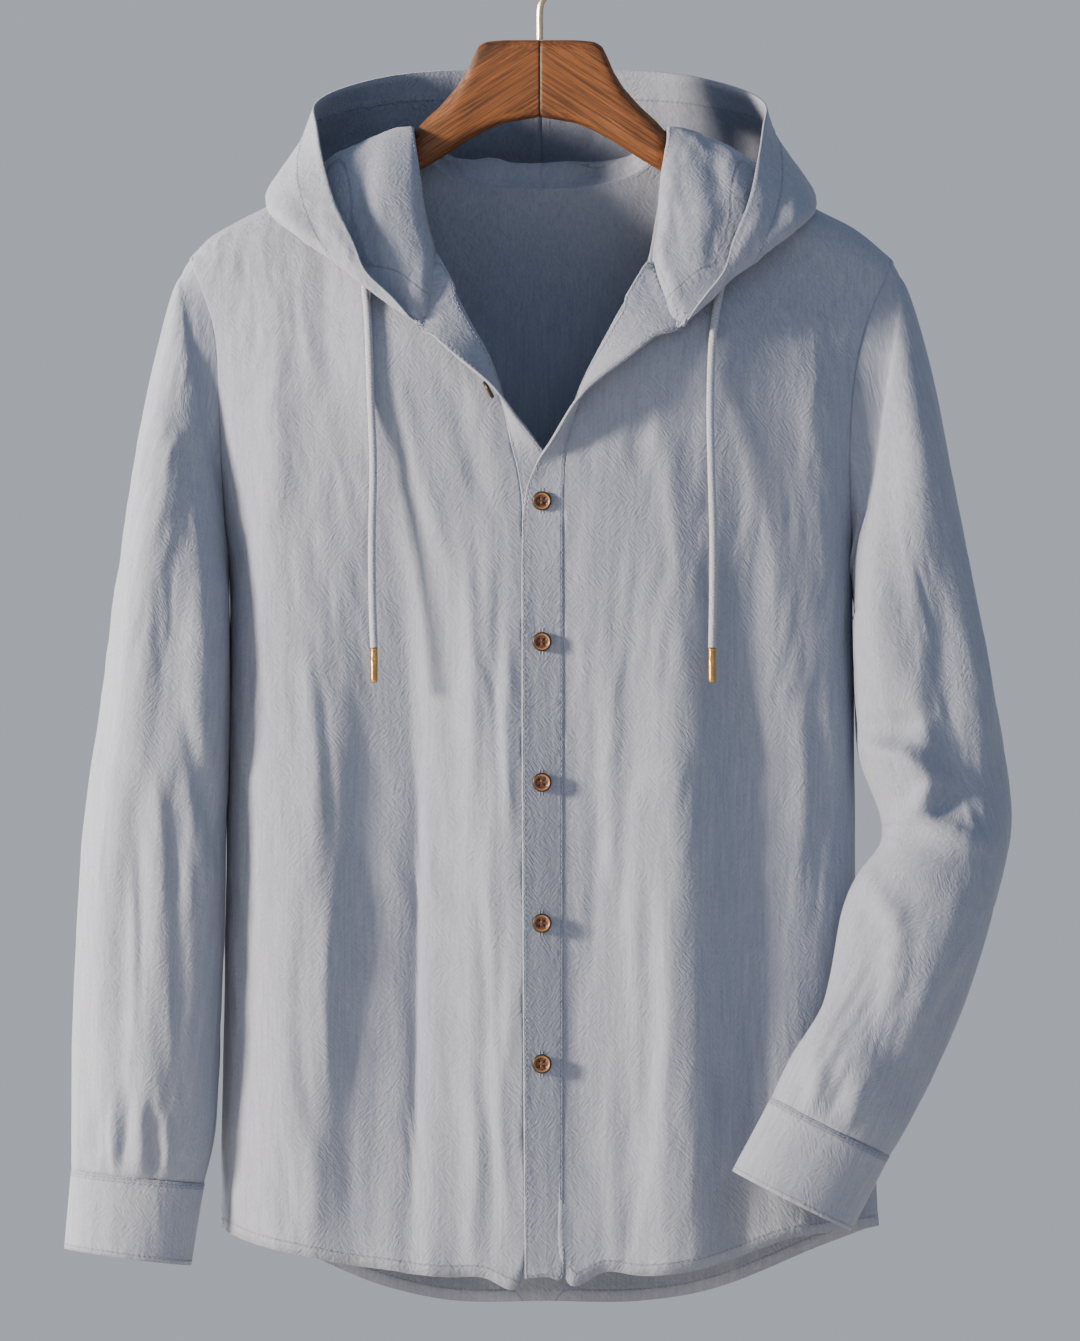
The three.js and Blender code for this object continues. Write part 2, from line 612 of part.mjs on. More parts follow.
// The hood hangs open behind the neck. Each row is one section of its left half, from the front corner
// round to the centre seam: neck seam, crest, the layer that lies on the shirt, the lowest fold, the
// outer layer and the rim. The right half mirrors it, out by its shift.
const HOOD = [
  {
    neck: [-75.4, -66, -265.8], crest: [-75.3, -66, -265.6], lies: [-77, -67, -264.9],
    fold: [-78.8, -68, -264.2], outer: [-80.4, -69, -263], rim: [-82, -69.5, -261.6],
    shift: 13,
  },
  {
    neck: [-71.6, -60, -244], crest: [-76, -64, -243], lies: [-86, -64, -246],
    fold: [-98, -64, -250], outer: [-101, -68, -247], rim: [-99, -72, -243.6],
    shift: 10,
  },
  {
    neck: [-69.4, -49, -219.2], crest: [-74, -56, -217], lies: [-99, -60, -222],
    fold: [-122, -58, -230], outer: [-121, -69, -232], rim: [-114, -74, -229],
    shift: 6,
  },
  {
    neck: [-75.0, -41, -193.5], crest: [-77, -48, -196], lies: [-108, -56, -202],
    fold: [-149, -44, -209], outer: [-144, -64, -214], rim: [-122, -70, -210],
    shift: 4,
  },
  {
    neck: [-79.6, -29, -164.5], crest: [-80.5, -36, -163], lies: [-122, -46, -177],
    fold: [-175, -20, -187], outer: [-171, -48, -192], rim: [-134, -60, -185],
    shift: 2,
  },
  {
    neck: [-84.3, -12, -140.3], crest: [-84, -16, -136], lies: [-128, -24, -151],
    fold: [-178.5, 2, -178], outer: [-173, -26, -173], rim: [-142, -44, -157],
    shift: 0.5,
  },
  {
    neck: [-84.6, 8, -134.6], crest: [-84, 6, -130], lies: [-124, 8, -148],
    fold: [-176, 36, -182], outer: [-162, 10, -150], rim: [-146.5, -22, -132],
    shift: 0,
  },
  {
    neck: [-79.0, 24, -148.5], crest: [-78, 26, -138], lies: [-104, 46, -168],
    fold: [-160, 70, -216], outer: [-158, 56, -158], rim: [-147.8, 8, -117],
    shift: 0,
  },
  {
    neck: [-64.0, 31, -162.3], crest: [-60, 36, -149], lies: [-80, 60, -195],
    fold: [-118, 86, -262], outer: [-134, 88, -168], rim: [-128.7, 46, -104.2],
    shift: 0,
  },
  {
    neck: [-44.0, 34, -168.8], crest: [-40, 42, -152.5], lies: [-50, 68, -205],
    fold: [-70, 94, -292], outer: [-88, 108, -186], rim: [-92, 76, -94],
    shift: 0,
  },
  {
    neck: [-22.0, 35.4, -171], crest: [-20, 45, -153.5], lies: [-24, 72, -212],
    fold: [-30, 97, -306], outer: [-42, 116, -196], rim: [-48, 90, -90.4],
    shift: 0,
  },
  {
    neck: [-0.3, 36, -171.8], crest: [-0.3, 46, -154.4], lies: [-0.3, 74, -214],
    fold: [-0.3, 98, -310], outer: [-0.3, 118, -199], rim: [-0.3, 94, -89.6],
    shift: 0,
  },
];
const HOOD_COLUMNS = ['neck', 'crest', 'lies', 'fold', 'outer', 'rim'];
const HOOD_ROWS = 22;
const HOOD_STEPS = 12;
const HOOD_CLEAR = 3.2;

// Moves a point out of the body, to a clear distance in front of it or behind it
function clearOfBody(p) {
  const over = lookup(SHOULDERS, 'x', 'z', p.x) - p.z;
  if (over <= -HOOD_CLEAR || Math.abs(p.x) < 80) return p;
  if (p.y < 0) p.y = Math.min(p.y, bodyY(p.x, p.z - HOOD_CLEAR, FRONT) - HOOD_CLEAR);
  else p.y = Math.max(p.y, bodyY(p.x, p.z - HOOD_CLEAR, BACK) + HOOD_CLEAR);
  return p;
}

function hoodHalf(mirror) {
  const controls = HOOD_COLUMNS.map((column) => new THREE.CatmullRomCurve3(HOOD.map((row) => {
    const [x, y, z] = row[column];
    return new THREE.Vector3(mirror ? row.shift - x : x, y, z);
  }), false, 'centripetal'));
  const grid = steps(HOOD_ROWS).map((r) => {
    const section = new THREE.CatmullRomCurve3(controls.map((c) => c.getPoint(r)), false, 'centripetal');
    return section.getPoints(HOOD_STEPS);
  });
  const outer = grid.map((row) => row.map((p, j) => (j > 1 ? clearOfBody(p) : p)));
  return wall(outer, offsetGrid(outer, (mirror ? 1 : -1) * CLOTH));
}

function circle(radius, sides) {
  return Array.from({ length: sides }, (_, k) => {
    const angle = (2 * Math.PI * k) / sides;
    return new THREE.Vector2(radius * Math.cos(angle), radius * Math.sin(angle));
  });
}

// Round button with four holes, its back on the XY plane
function button() {
  const disc = new THREE.Shape(circle(BUTTON.radius, 20));
  for (const [sx, sy] of [[1, 1], [-1, 1], [-1, -1], [1, -1]]) {
    const middle = new THREE.Vector2(sx, sy).multiplyScalar(BUTTON.spread);
    disc.holes.push(new THREE.Path(circle(BUTTON.hole, 6).map((p) => p.add(middle))));
  }
  return new THREE.ExtrudeGeometry(disc, { depth: BUTTON.thick, bevelEnabled: false });
}

// Drawstrings: hand-placed points down each cord, from under the hood to its end
const CORD_LEFT = [
  [-115.0, -54.8, -225], [-115.1, -51.6, -226], [-115.3, -49.6, -232], [-114.8, -50, -240],
  [-113.4, -52.5, -254], [-112.2, -57, -275], [-111.0, -60.5, -310], [-109.2, -62.5, -356],
  [-110.0, -64.5, -402], [-109.6, -66.5, -448], [-108.6, -67.5, -476.2],
];
const CORD_RIGHT = [
  [121.0, -55.4, -226], [120.9, -51.9, -227], [120.2, -49.8, -233], [118.6, -50, -240],
  [116.0, -52.5, -252], [112.8, -57.5, -279], [111.6, -61, -318], [112.2, -63, -356],
  [113.4, -65, -402], [113.2, -67, -448], [112.6, -68, -476.2],
];

function tube(points, radius, sides, count) {
  const curve = new THREE.CatmullRomCurve3(points.map((p) => new THREE.Vector3(...p)), false, 'centripetal');
  const section = new THREE.Shape(circle(radius, sides));
  return new THREE.ExtrudeGeometry(section, { steps: count, extrudePath: curve, bevelEnabled: false });
}

// Hanger: sections of one arm, from the joint in the middle to the tip. Square is the section's
// power, 2 for an ellipse and more for a squarer one.
const ARM = [
  { x: 0, top: -75.0, foot: -125.8, half: 11.5, square: 5 },
  { x: 24, top: -75.0, foot: -130.0, half: 11.6, square: 5 },
  { x: 36, top: -76.0, foot: -135.0, half: 11.8, square: 4.6 },
  { x: 41, top: -79.0, foot: -138.0, half: 11.9, square: 4.2 },
  { x: 44.5, top: -86.0, foot: -139.8, half: 12.0, square: 4 },
  { x: 48.5, top: -95.5, foot: -142.0, half: 12.2, square: 3.6 },
  { x: 55, top: -106.2, foot: -146.4, half: 12.4, square: 3.2 },
  { x: 66, top: -118.6, foot: -153.6, half: 12.2, square: 2.8 },
  { x: 77, top: -128.6, foot: -160.0, half: 12.0, square: 2.4 },
  { x: 86, top: -138.8, foot: -165.4, half: 10.0, square: 2 },
  { x: 92, top: -141.2, foot: -168.8, half: 10.8, square: 2 },
  { x: 112, top: -149.6, foot: -178.6, half: 11.6, square: 2 },
  { x: 141, top: -164.2, foot: -193.0, half: 11.6, square: 2 },
  { x: 180, top: -188.0, foot: -215.0, half: 10.8, square: 2 },
  { x: 200, top: -198.4, foot: -225.0, half: 9.4, square: 2 },
  { x: 212, top: -207.0, foot: -228.0, half: 7.4, square: 2 },
  { x: 218, top: -213.5, foot: -226.5, half: 4.4, square: 2 },
];
const ARM_SIDES = 16;

function hangerArm(sign) {
  const rings = ARM.map((row) => {
    const high = (row.top - row.foot) / 2;
    const middle = (row.top + row.foot) / 2;
    const bend = (value) => Math.sign(value) * Math.abs(value) ** (2 / row.square);
    return Array.from({ length: ARM_SIDES }, (_, k) => {
      const angle = (2 * Math.PI * (k + 0.5)) / ARM_SIDES;
      return new THREE.Vector3(
        sign * Math.max(row.x, WOOD_GAP),
        row.half * bend(Math.cos(angle)),
        middle + high * bend(Math.sin(angle)),
      );
    });
  });
  return loft(rings);
}

// Hook: a straight shank, a short bend out and a round crown whose inside top is the origin
function hook() {
  const crown = -(HOOK_BEND - HOOK_WIRE);
  const points = [[0, 0, WOOD_TOP + WOOD_GAP * 2], [0, 0, -66], [0, 0, -57], [1.2, 0, -50], [6, 0, -43.5]];
  const start = -0.95;
  const sweep = 4.35;
  for (const part of steps(12)) {
    const angle = start + part * sweep;
    points.push([HOOK_BEND * Math.cos(angle), 0, crown + HOOK_BEND * Math.sin(angle)]);
  }
  return tube(points, HOOK_WIRE, 8, 32);
}

const shirt = new THREE.MeshStandardMaterial({ color: 0x9aa6b8, roughness: 0.9, metalness: 0 });
const horn = new THREE.MeshStandardMaterial({ color: 0x6b4a30, roughness: 0.5, metalness: 0 });
const brass = new THREE.MeshStandardMaterial({ color: 0xa8895a, roughness: 0.35, metalness: 0.9 });
const wood = new THREE.MeshStandardMaterial({ color: 0x9a5f33, roughness: 0.45, metalness: 0 });
const steel = new THREE.MeshStandardMaterial({ color: 0xb9b6ae, roughness: 0.3, metalness: 0.9 });

const part = new THREE.Group();

function add(name, geometry, material) {
  const mesh = new THREE.Mesh(geometry, material.clone());
  mesh.name = name;
  part.add(mesh);
  return mesh;
}

add('back', backPanel(), shirt);
add('front_left', frontPanel(FRONT_EDGE_LEFT, SIDE_LEFT, false), shirt);
add('front_right', frontPanel(FRONT_EDGE_RIGHT, SIDE_RIGHT, true), shirt);
add('placket_left', frontBand(FRONT_EDGE_LEFT, BAND_LEFT, 0, 1), shirt);
add('placket_right', frontBand(FRONT_EDGE_RIGHT, BAND_RIGHT, BAND_LIFT, -1), shirt);
add('sleeve_left', sleeve(SLEEVE_LEFT, SIDE_LEFT, -1, SLEEVE_FOLDS), shirt);
add('sleeve_right', sleeve(SLEEVE_RIGHT, SIDE_RIGHT, 1, ELBOW_FOLDS), shirt);
add('cuff_left', cuff(CUFF_LEFT, -1), shirt);
add('cuff_right', cuff(CUFF_RIGHT, 1), shirt);
add('hood_left', hoodHalf(false), shirt);
add('hood_right', hoodHalf(true), shirt);

for (let i = 0; i < BUTTON_COUNT; i += 1) {
  const z = BUTTON_TOP_Z - i * BUTTON_SPACING;
  const mesh = add(`button_${i + 1}`, button(), horn);
  mesh.rotation.x = Math.PI / 2;
  mesh.position.set(BUTTON_X, bodyY(BUTTON_X, z, FRONT) - BAND_LIFT - BUTTON.gap, z);
}
const loose = add('button_top', button(), horn);
loose.rotation.y = LOOSE_BUTTON.turn;
loose.position.set(...LOOSE_BUTTON.place);

for (const [side, points] of [['left', CORD_LEFT], ['right', CORD_RIGHT]]) {
  add(`drawstring_${side}`, tube(points, CORD_RADIUS, CORD_SIDES, CORD_STEPS), shirt);
  const tip = new THREE.CylinderGeometry(AGLET.radius, AGLET.radius * 0.94, AGLET.length, 12);
  const mesh = add(`aglet_${side}`, tip, brass);
  const [x, y, z] = points.at(-1);
  mesh.rotation.x = Math.PI / 2;
  mesh.position.set(x, y, z - AGLET.gap - AGLET.length / 2);
}

add('hanger_left', hangerArm(-1), wood);
add('hanger_right', hangerArm(1), wood);
add('hook', hook(), steel);

export default part;
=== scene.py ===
"""Hooded shirt of crinkled cotton and linen on a wooden hanger. Metres, +Z up, the front faces -Y."""
import math

import bmesh
import bpy
import numpy as np
from mathutils import Matrix, Vector, noise
from mathutils.bvhtree import BVHTree
from mathutils.kdtree import KDTree


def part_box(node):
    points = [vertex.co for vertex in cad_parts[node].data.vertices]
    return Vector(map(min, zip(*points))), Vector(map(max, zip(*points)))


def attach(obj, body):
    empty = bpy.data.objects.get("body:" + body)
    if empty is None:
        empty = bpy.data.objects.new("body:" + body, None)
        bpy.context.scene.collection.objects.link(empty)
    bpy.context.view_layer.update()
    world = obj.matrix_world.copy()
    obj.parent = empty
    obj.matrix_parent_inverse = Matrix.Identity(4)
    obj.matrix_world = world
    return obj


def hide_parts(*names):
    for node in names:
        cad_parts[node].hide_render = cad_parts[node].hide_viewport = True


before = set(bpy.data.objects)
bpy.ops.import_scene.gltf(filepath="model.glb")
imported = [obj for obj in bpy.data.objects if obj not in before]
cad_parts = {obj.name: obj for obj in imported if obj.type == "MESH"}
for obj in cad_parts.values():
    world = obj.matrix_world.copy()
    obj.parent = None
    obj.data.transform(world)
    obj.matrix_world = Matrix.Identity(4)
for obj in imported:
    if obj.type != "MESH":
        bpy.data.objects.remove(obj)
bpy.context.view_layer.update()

# Camera
# A long lens 8 m away looks straight at the front, level with the middle of the shirt,
# so that near and far parts keep almost the same size.
MM = 0.001
CAMERA_AWAY = 8.0
CAMERA_HEIGHT = -0.4911
VIEW_HEIGHT = 0.8851
SENSOR = 36.0
camera = bpy.data.objects.new("camera", bpy.data.cameras.new("camera"))
bpy.context.scene.collection.objects.link(camera)
camera.location = (0, -CAMERA_AWAY, CAMERA_HEIGHT)
camera.rotation_euler = (math.pi / 2, 0, 0)
camera.data.sensor_width = SENSOR
camera.data.lens = SENSOR * CAMERA_AWAY / VIEW_HEIGHT
camera.data.clip_end = 60
bpy.context.scene.camera = camera

# Drawstrings
# Two free ends of one round braided cotton cord, 5.3 mm thick. They leave the hood's tunnel at the
# front corners and hang straight down over the chest, each into its metal tip.
CORD_THICK = 5.3
CORD_STRANDS = 8
CORD_SIDES = 32
CORD_STEP = 0.55
BRAID_HEIGHT = 0.36
CORDS = {
    "left": [
        (-115.0, -54.8, -225), (-115.1, -51.6, -226), (-115.3, -49.6, -232), (-114.8, -50, -240),
        (-113.4, -52.5, -254), (-112.2, -57, -275), (-111.0, -60.5, -310), (-109.2, -62.5, -356),
        (-110.0, -64.5, -402), (-109.6, -66.5, -448), (-108.6, -67.5, -476.2),
    ],
    "right": [
        (121.0, -55.4, -226), (120.9, -51.9, -227), (120.2, -49.8, -233), (118.6, -50, -240),
        (116.0, -52.5, -252), (112.8, -57.5, -279), (111.6, -61, -318), (112.2, -63, -356),
        (113.4, -65, -402), (113.2, -67, -448), (112.6, -68, -476.2),
    ],
}


def linear(colour):
    """An sRGB hex colour as linear red, green, blue and alpha."""
    values = [int(colour[i:i + 2], 16) / 255 for i in (1, 3, 5)]
    return [v / 12.92 if v <= 0.04045 else ((v + 0.055) / 1.055) ** 2.4 for v in values] + [1.0]


def new_material(name):
    """A material with its node tree and its main shader."""
    made = bpy.data.materials.new(name)
    made.use_nodes = True
    return made, made.node_tree, made.node_tree.nodes["Principled BSDF"]


def node(tree, kind, settings, inputs):
    """Adds a shader node with its settings and its values or links, and gives its outputs."""
    made = tree.nodes.new("ShaderNode" + kind)
    for name, value in settings.items():
        setattr(made, name, value)
    for key, value in inputs.items():
        if isinstance(value, bpy.types.NodeSocket):
            tree.links.new(value, made.inputs[key])
        else:
            made.inputs[key].default_value = value
    return made.outputs


def smooth_route(points, step):
    """Points at even steps on a smooth curve through the given ones, which are in millimetres."""
    given = [Vector(p) for p in points]
    fine = []
    for i in range(len(given) - 1):
        a, b = given[i], given[i + 1]
        before = given[i - 1] if i else a * 2 - b
        after = given[i + 2] if i + 2 < len(given) else b * 2 - a
        span = (b - a).length
        start = (b - before) * (span / (b - before).length)
        end = (after - a) * (span / (after - a).length)
        for k in range(24):
            t = k / 24
            fine.append(a * (2 * t**3 - 3 * t**2 + 1) + start * (t**3 - 2 * t**2 + t)
                        + b * (3 * t**2 - 2 * t**3) + end * (t**3 - t**2))
    fine.append(given[-1])
    reach = np.concatenate([[0], np.cumsum([(q - p).length for p, q in zip(fine, fine[1:])])])
    wanted = np.linspace(0, reach[-1], max(2, round(reach[-1] / step) + 1))
    return np.stack([np.interp(wanted, reach, [p[k] for p in fine]) for k in range(3)], axis=1)


def linked(name, data):
    """A new object in the scene."""
    obj = bpy.data.objects.new(name, data)
    bpy.context.scene.collection.objects.link(obj)
    return obj


def evaluated_mesh(obj):
    """A new mesh of the object as its modifiers or its curve settings shape it."""
    bpy.context.view_layer.update()
    return bpy.data.meshes.new_from_object(obj.evaluated_get(bpy.context.evaluated_depsgraph_get()))


def mesh_from(bm, name):
    """A new mesh from a bmesh, which is freed."""
    mesh = bpy.data.meshes.new(name)
    bm.to_mesh(mesh)
    bm.free()
    return mesh


def read_points(mesh):
    """A mesh's vertices as an array."""
    co = np.empty(len(mesh.vertices) * 3)
    mesh.vertices.foreach_get("co", co)
    return co.reshape(-1, 3)


def write_points(mesh, points):
    """Moves a mesh's vertices to the points."""
    mesh.vertices.foreach_set("co", np.asarray(points, float).ravel())
    mesh.update()


def finished(name, mesh, material, slot, *nodes):
    """Makes the piece's object, smooth, on the part's one body and in place of its CAD nodes."""
    obj = linked(name, mesh)
    mesh.materials.clear()
    mesh.materials.append(material)
    mesh.polygons.foreach_set("use_smooth", [True] * len(mesh.polygons))
    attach(obj, "root")
    if nodes:
        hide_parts(*nodes)
    return obj


def tube_mesh(name, route, radius, sides):
    """A round tube round a route in millimetres, closed at its ends, with its rings in order."""
    curve = bpy.data.curves.new(name, "CURVE")
    curve.dimensions = "3D"
    curve.bevel_depth = radius * MM
    curve.bevel_resolution = sides // 4 - 1
    curve.use_fill_caps = True
    spline = curve.splines.new("POLY")
    spline.points.add(len(route) - 1)
    for point, p in zip(spline.points, route):
        point.co = (*(p * MM), 1)
    holder = linked(name + "_line", curve)
    mesh = evaluated_mesh(holder)
    bpy.data.objects.remove(holder)
    mesh.name = name
    return mesh


# Braided cotton, matt, its strands a little fuzzy, with painted shade that darkens the gaps between them
cord_cotton, tree, shader = new_material("braided_cotton_cord")
painted_gap_shade = node(tree, "Attribute", {"attribute_name": "braid"}, {})["Fac"]
fuzz = node(tree, "TexNoise", {}, {
    "Vector": node(tree, "TexCoord", {}, {})["Object"], "Scale": 2600.0, "Detail": 2.0})["Fac"]
# Painted shade: the colour is darker where the braid's strands dip into the gaps between them.
tone = node(tree, "Mix", {"data_type": "RGBA"}, {
    0: painted_gap_shade, 6: linear("#5f697c"), 7: linear("#939db0")})[2]
speckle = node(tree, "Mix", {"data_type": "RGBA", "blend_type": "SOFT_LIGHT"}, {0: 0.35, 6: tone, 7: fuzz})[2]
tree.links.new(speckle, shader.inputs["Base Color"])
shader.inputs["Roughness"].default_value = 0.86
shader.inputs["Sheen Weight"].default_value = 0.2
tree.links.new(node(tree, "Bump", {}, {"Strength": 0.4, "Distance": 0.0002, "Height": fuzz})["Normal"],
               shader.inputs["Normal"])

cords = {}
for side, points in CORDS.items():
    route = smooth_route(points, CORD_STEP)
    mesh = tube_mesh(f"drawstring_{side}", route, CORD_THICK / 2 - BRAID_HEIGHT, CORD_SIDES)
    co = read_points(mesh)
    around = len(co) // len(route)
    ring = np.minimum(np.arange(len(co)) // around, len(route) - 1)
    spoke = co / MM - route[ring]
    turn = (np.arange(len(co)) % around) / around * CORD_STRANDS
    climb = ring * CORD_STEP / (math.pi * CORD_THICK / CORD_STRANDS)
    up, down = turn + climb, turn - climb
    over = (np.floor(up) + np.floor(down)) % 2
    phase = np.where(over > 0.5, up, down) % 1
    height = np.sin(math.pi * phase) ** 0.7
    spoke /= np.maximum(np.linalg.norm(spoke, axis=1, keepdims=True), 1e-6)
    write_points(mesh, co + spoke * (height * BRAID_HEIGHT)[:, None] * MM)
    mesh.attributes.new("braid", "FLOAT", "POINT").data.foreach_set("value", height)
    cords[side] = (finished(f"cord_{side}", mesh, cord_cotton, "cord_cotton", f"drawstring_{side}"), route)

# Cord tips
# Antique brass tubes crimped on each cord's end, with a rolled rim at the top, a small dent
# and a seam down the front.
TIP_GAP = 0.35
TIP_SIDES = 32
TIP_LONGEST = 3.0
TIP_PROFILE = [
    (0.0, 0.0), (2.3, 0.0), (2.62, -0.25), (2.66, -0.9), (2.42, -1.3), (2.45, -6.0), (2.5, -12.0),
    (2.5, -20.4), (2.3, -21.9), (1.7, -22.5), (0.0, -22.6),
]
DENT = {"at": -8.0, "reach": 1.5, "deep": 0.55}
TIP_SEAM = {"wide": 0.22, "deep": 0.16}


def turned(profile, steps):
    """A closed round solid, as a profile of x and z turned round the Z axis."""
    bm = bmesh.new()
    corners = [bm.verts.new((x, 0, z)) for x, z in profile]
    edges = [bm.edges.new(pair) for pair in zip(corners, corners[1:])]
    bmesh.ops.spin(bm, geom=corners + edges, cent=(0, 0, 0), axis=(0, 0, 1), angle=2 * math.pi,
                   steps=steps, use_merge=True)
    bmesh.ops.remove_doubles(bm, verts=bm.verts, dist=0.001)
    return bm


# Antique brass: drawn tube, in random patches of bright brass and dull brown
brass, tree, shader = new_material("antique_brass")
where = node(tree, "TexCoord", {}, {})["Object"]
patina = node(tree, "TexNoise", {}, {"Vector": where, "Scale": 900.0, "Detail": 4.0})["Fac"]
tree.links.new(node(tree, "Mix", {"data_type": "RGBA"}, {
    0: patina, 6: linear("#6e5530"), 7: linear("#c6a56c")})[2], shader.inputs["Base Color"])
tree.links.new(node(tree, "MapRange", {}, {
    "Value": patina, "To Min": 0.22, "To Max": 0.5})["Result"], shader.inputs["Roughness"])
shader.inputs["Metallic"].default_value = 0.95

for side, (cord, route) in cords.items():
    bm = turned(TIP_PROFILE, TIP_SIDES)
    long_edges = [e for e in bm.edges if abs(e.verts[0].co.z - e.verts[1].co.z) > TIP_LONGEST]
    bmesh.ops.subdivide_edges(bm, edges=long_edges, cuts=8)
    for v in bm.verts:
        off = math.hypot(v.co.x, v.co.z - DENT["at"]) / DENT["reach"]
        if v.co.y < 0:
            v.co.y += DENT["deep"] * math.exp(-off * off)
            v.co.y += TIP_SEAM["deep"] * math.exp(-(v.co.x / TIP_SEAM["wide"]) ** 2)
    bmesh.ops.recalc_face_normals(bm, faces=bm.faces)
    end = Vector(route[-1])
    end.z -= TIP_GAP
    bmesh.ops.transform(bm, matrix=Matrix.Scale(MM, 4) @ Matrix.Translation(end), verts=bm.verts)
    tip = finished(f"tip_{side}", mesh_from(bm, f"tip_{side}"), brass, "aglet_brass", f"aglet_{side}")

# Back
# One panel of the shirt's cloth from the hem to the neck, with no yoke. Its long soft folds fall
# from the shoulder blades, and its hem is turned up once and stitched.
CLOTH_THICK = 1.4
SUBDIVISIONS = 3
SEAM_REACH = 12.0
GROOVES = 3
GAP_SMOOTHING = 40
TUCK_REACH = 9.0
CRINKLE = {"patches": (55, 90), "fine": (6.5, 30), "sharp": (9, 42), "broad": (19, 110)}
FACING = (0.05, 0.45)
STITCH = {"thick": 0.62, "high": 0.4, "long": 2.7, "pitch": 3.5, "lift": 0.12, "reach": 4.0}


def quad_grid(name, thick):
    """The outer face of a cloth node's wall, as the quads that its triangles came from."""
    bm = bmesh.new()
    bm.from_mesh(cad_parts[name].data)
    bmesh.ops.remove_doubles(bm, verts=bm.verts, dist=4e-6)
    rim = [f for f in bm.faces if any(abs(e.calc_length() - thick * MM) < 8e-6 for e in f.edges)]
    bmesh.ops.delete(bm, geom=rim, context="FACES")
    islands = []
    seen = set()
    for start in bm.faces:
        if start in seen:
            continue
        island = [start]
        seen.add(start)
        for face in island:
            for edge in face.edges:
                for other in edge.link_faces:
                    if other not in seen:
                        seen.add(other)
                        island.append(other)
        islands.append(island)
    islands.sort(key=lambda faces: sum(
        f.calc_area() * f.normal.xy.dot(f.calc_center_median().xy) for f in faces))
    outside = islands.pop()
    bmesh.ops.delete(bm, geom=[f for faces in islands for f in faces], context="FACES")
    first = outside[0]
    family = {edge: k for k, edge in enumerate(first.edges)}
    queue, seen = [first], {first}
    for face in queue:
        for edge in face.edges:
            for other in edge.link_faces:
                if other in seen:
                    continue
                for mine in face.edges:
                    if mine != edge:
                        shared = next(v for v in mine.verts if v in edge.verts)
                        twin = next(e for e in other.edges if e != edge and shared not in e.verts)
                        family[twin] = family[mine]
                seen.add(other)
                queue.append(other)
    lengths = [sum(e.calc_length() for e, k in family.items() if k == kind) for kind in range(3)]
    across = lengths.index(max(lengths))
    bmesh.ops.dissolve_edges(bm, edges=[e for e, k in family.items() if k == across], use_verts=False)
    return bm


def fine_grid(name, thick):
    """The node's outer face, smoothly subdivided so that it still passes through the node's corners."""
    mesh = mesh_from(quad_grid(name, thick), name + "_cloth")
    for extra in [a.name for a in mesh.attributes if a.name == "custom_normal"]:
        mesh.attributes.remove(mesh.attributes[extra])
    holder = linked(name + "_grid", mesh)
    smooth = holder.modifiers.new("smooth", "SUBSURF")
    smooth.levels = smooth.render_levels = SUBDIVISIONS
    smooth.boundary_smooth = "PRESERVE_CORNERS"
    count = len(mesh.vertices)
    wanted = read_points(mesh)
    for _ in range(4):
        bpy.context.view_layer.update()
        shown = holder.evaluated_get(bpy.context.evaluated_depsgraph_get()).data
        missed = wanted - read_points(shown)[:count]
        write_points(mesh, read_points(mesh) + missed)
    fine = evaluated_mesh(holder)
    bpy.data.objects.remove(holder)
    return fine


def read_normals(mesh):
    """A mesh's vertex normals as an array."""
    out = np.empty(len(mesh.vertices) * 3)
    mesh.vertex_normals.foreach_get("vector", out)
    return out.reshape(-1, 3)


def surface_of(mesh):
    """A mesh's faces, ready for finding the nearest place on them."""
    corners = [v.co.copy() for v in mesh.vertices]
    return BVHTree.FromPolygons(corners, [tuple(f.vertices) for f in mesh.polygons])


def edge_lines(mesh, wanted=None):
    """The mesh's free edges as ordered lines of vertex numbers, kept where the wanted test says so."""
    uses = {}
    for face in mesh.polygons:
        for key in face.edge_keys:
            uses[key] = uses.get(key, 0) + 1
    points = [v.co / MM for v in mesh.vertices]
    beside = {}
    for (a, b), count in uses.items():
        if count == 1 and (wanted is None or (wanted(points[a]) and wanted(points[b]))):
            beside.setdefault(a, []).append(b)
            beside.setdefault(b, []).append(a)
    lines, used = [], set()
    for start in sorted(beside, key=lambda i: (len(beside[i]) != 1, i)):
        if start in used:
            continue
        line = [start]
        used.add(start)
        while True:
            following = [i for i in beside[line[-1]] if i not in used]
            if not following:
                break
            line.append(following[0])
            used.add(following[0])
        if len(line) > 2:
            if line[0] in beside[line[-1]]:
                line.append(line[0])
            lines.append(line)
    return lines


def edge_frames(mesh, lines):
    """Each line of free edges as its points and, at each, the cloth's normal and the way off the cloth."""
    points, normals = read_points(mesh), read_normals(mesh)
    surface = surface_of(mesh)
    frames = []
    for line in lines:
        at = points[line]
        along = np.gradient(at, axis=0)
        if line[0] == line[-1]:
            along[0] = along[-1] = at[1] - at[-2]
        off = np.cross(along, normals[line])
        off /= np.maximum(np.linalg.norm(off, axis=1, keepdims=True), 1e-9)
        votes = 0
        for p, way in zip(at[::3], off[::3]):
            votes += surface.find_nearest(Vector(p + way * 3 * MM))[3]
            votes -= surface.find_nearest(Vector(p - way * 3 * MM))[3]
        frames.append((at, normals[line], off if votes > 0 else -off))
    return frames


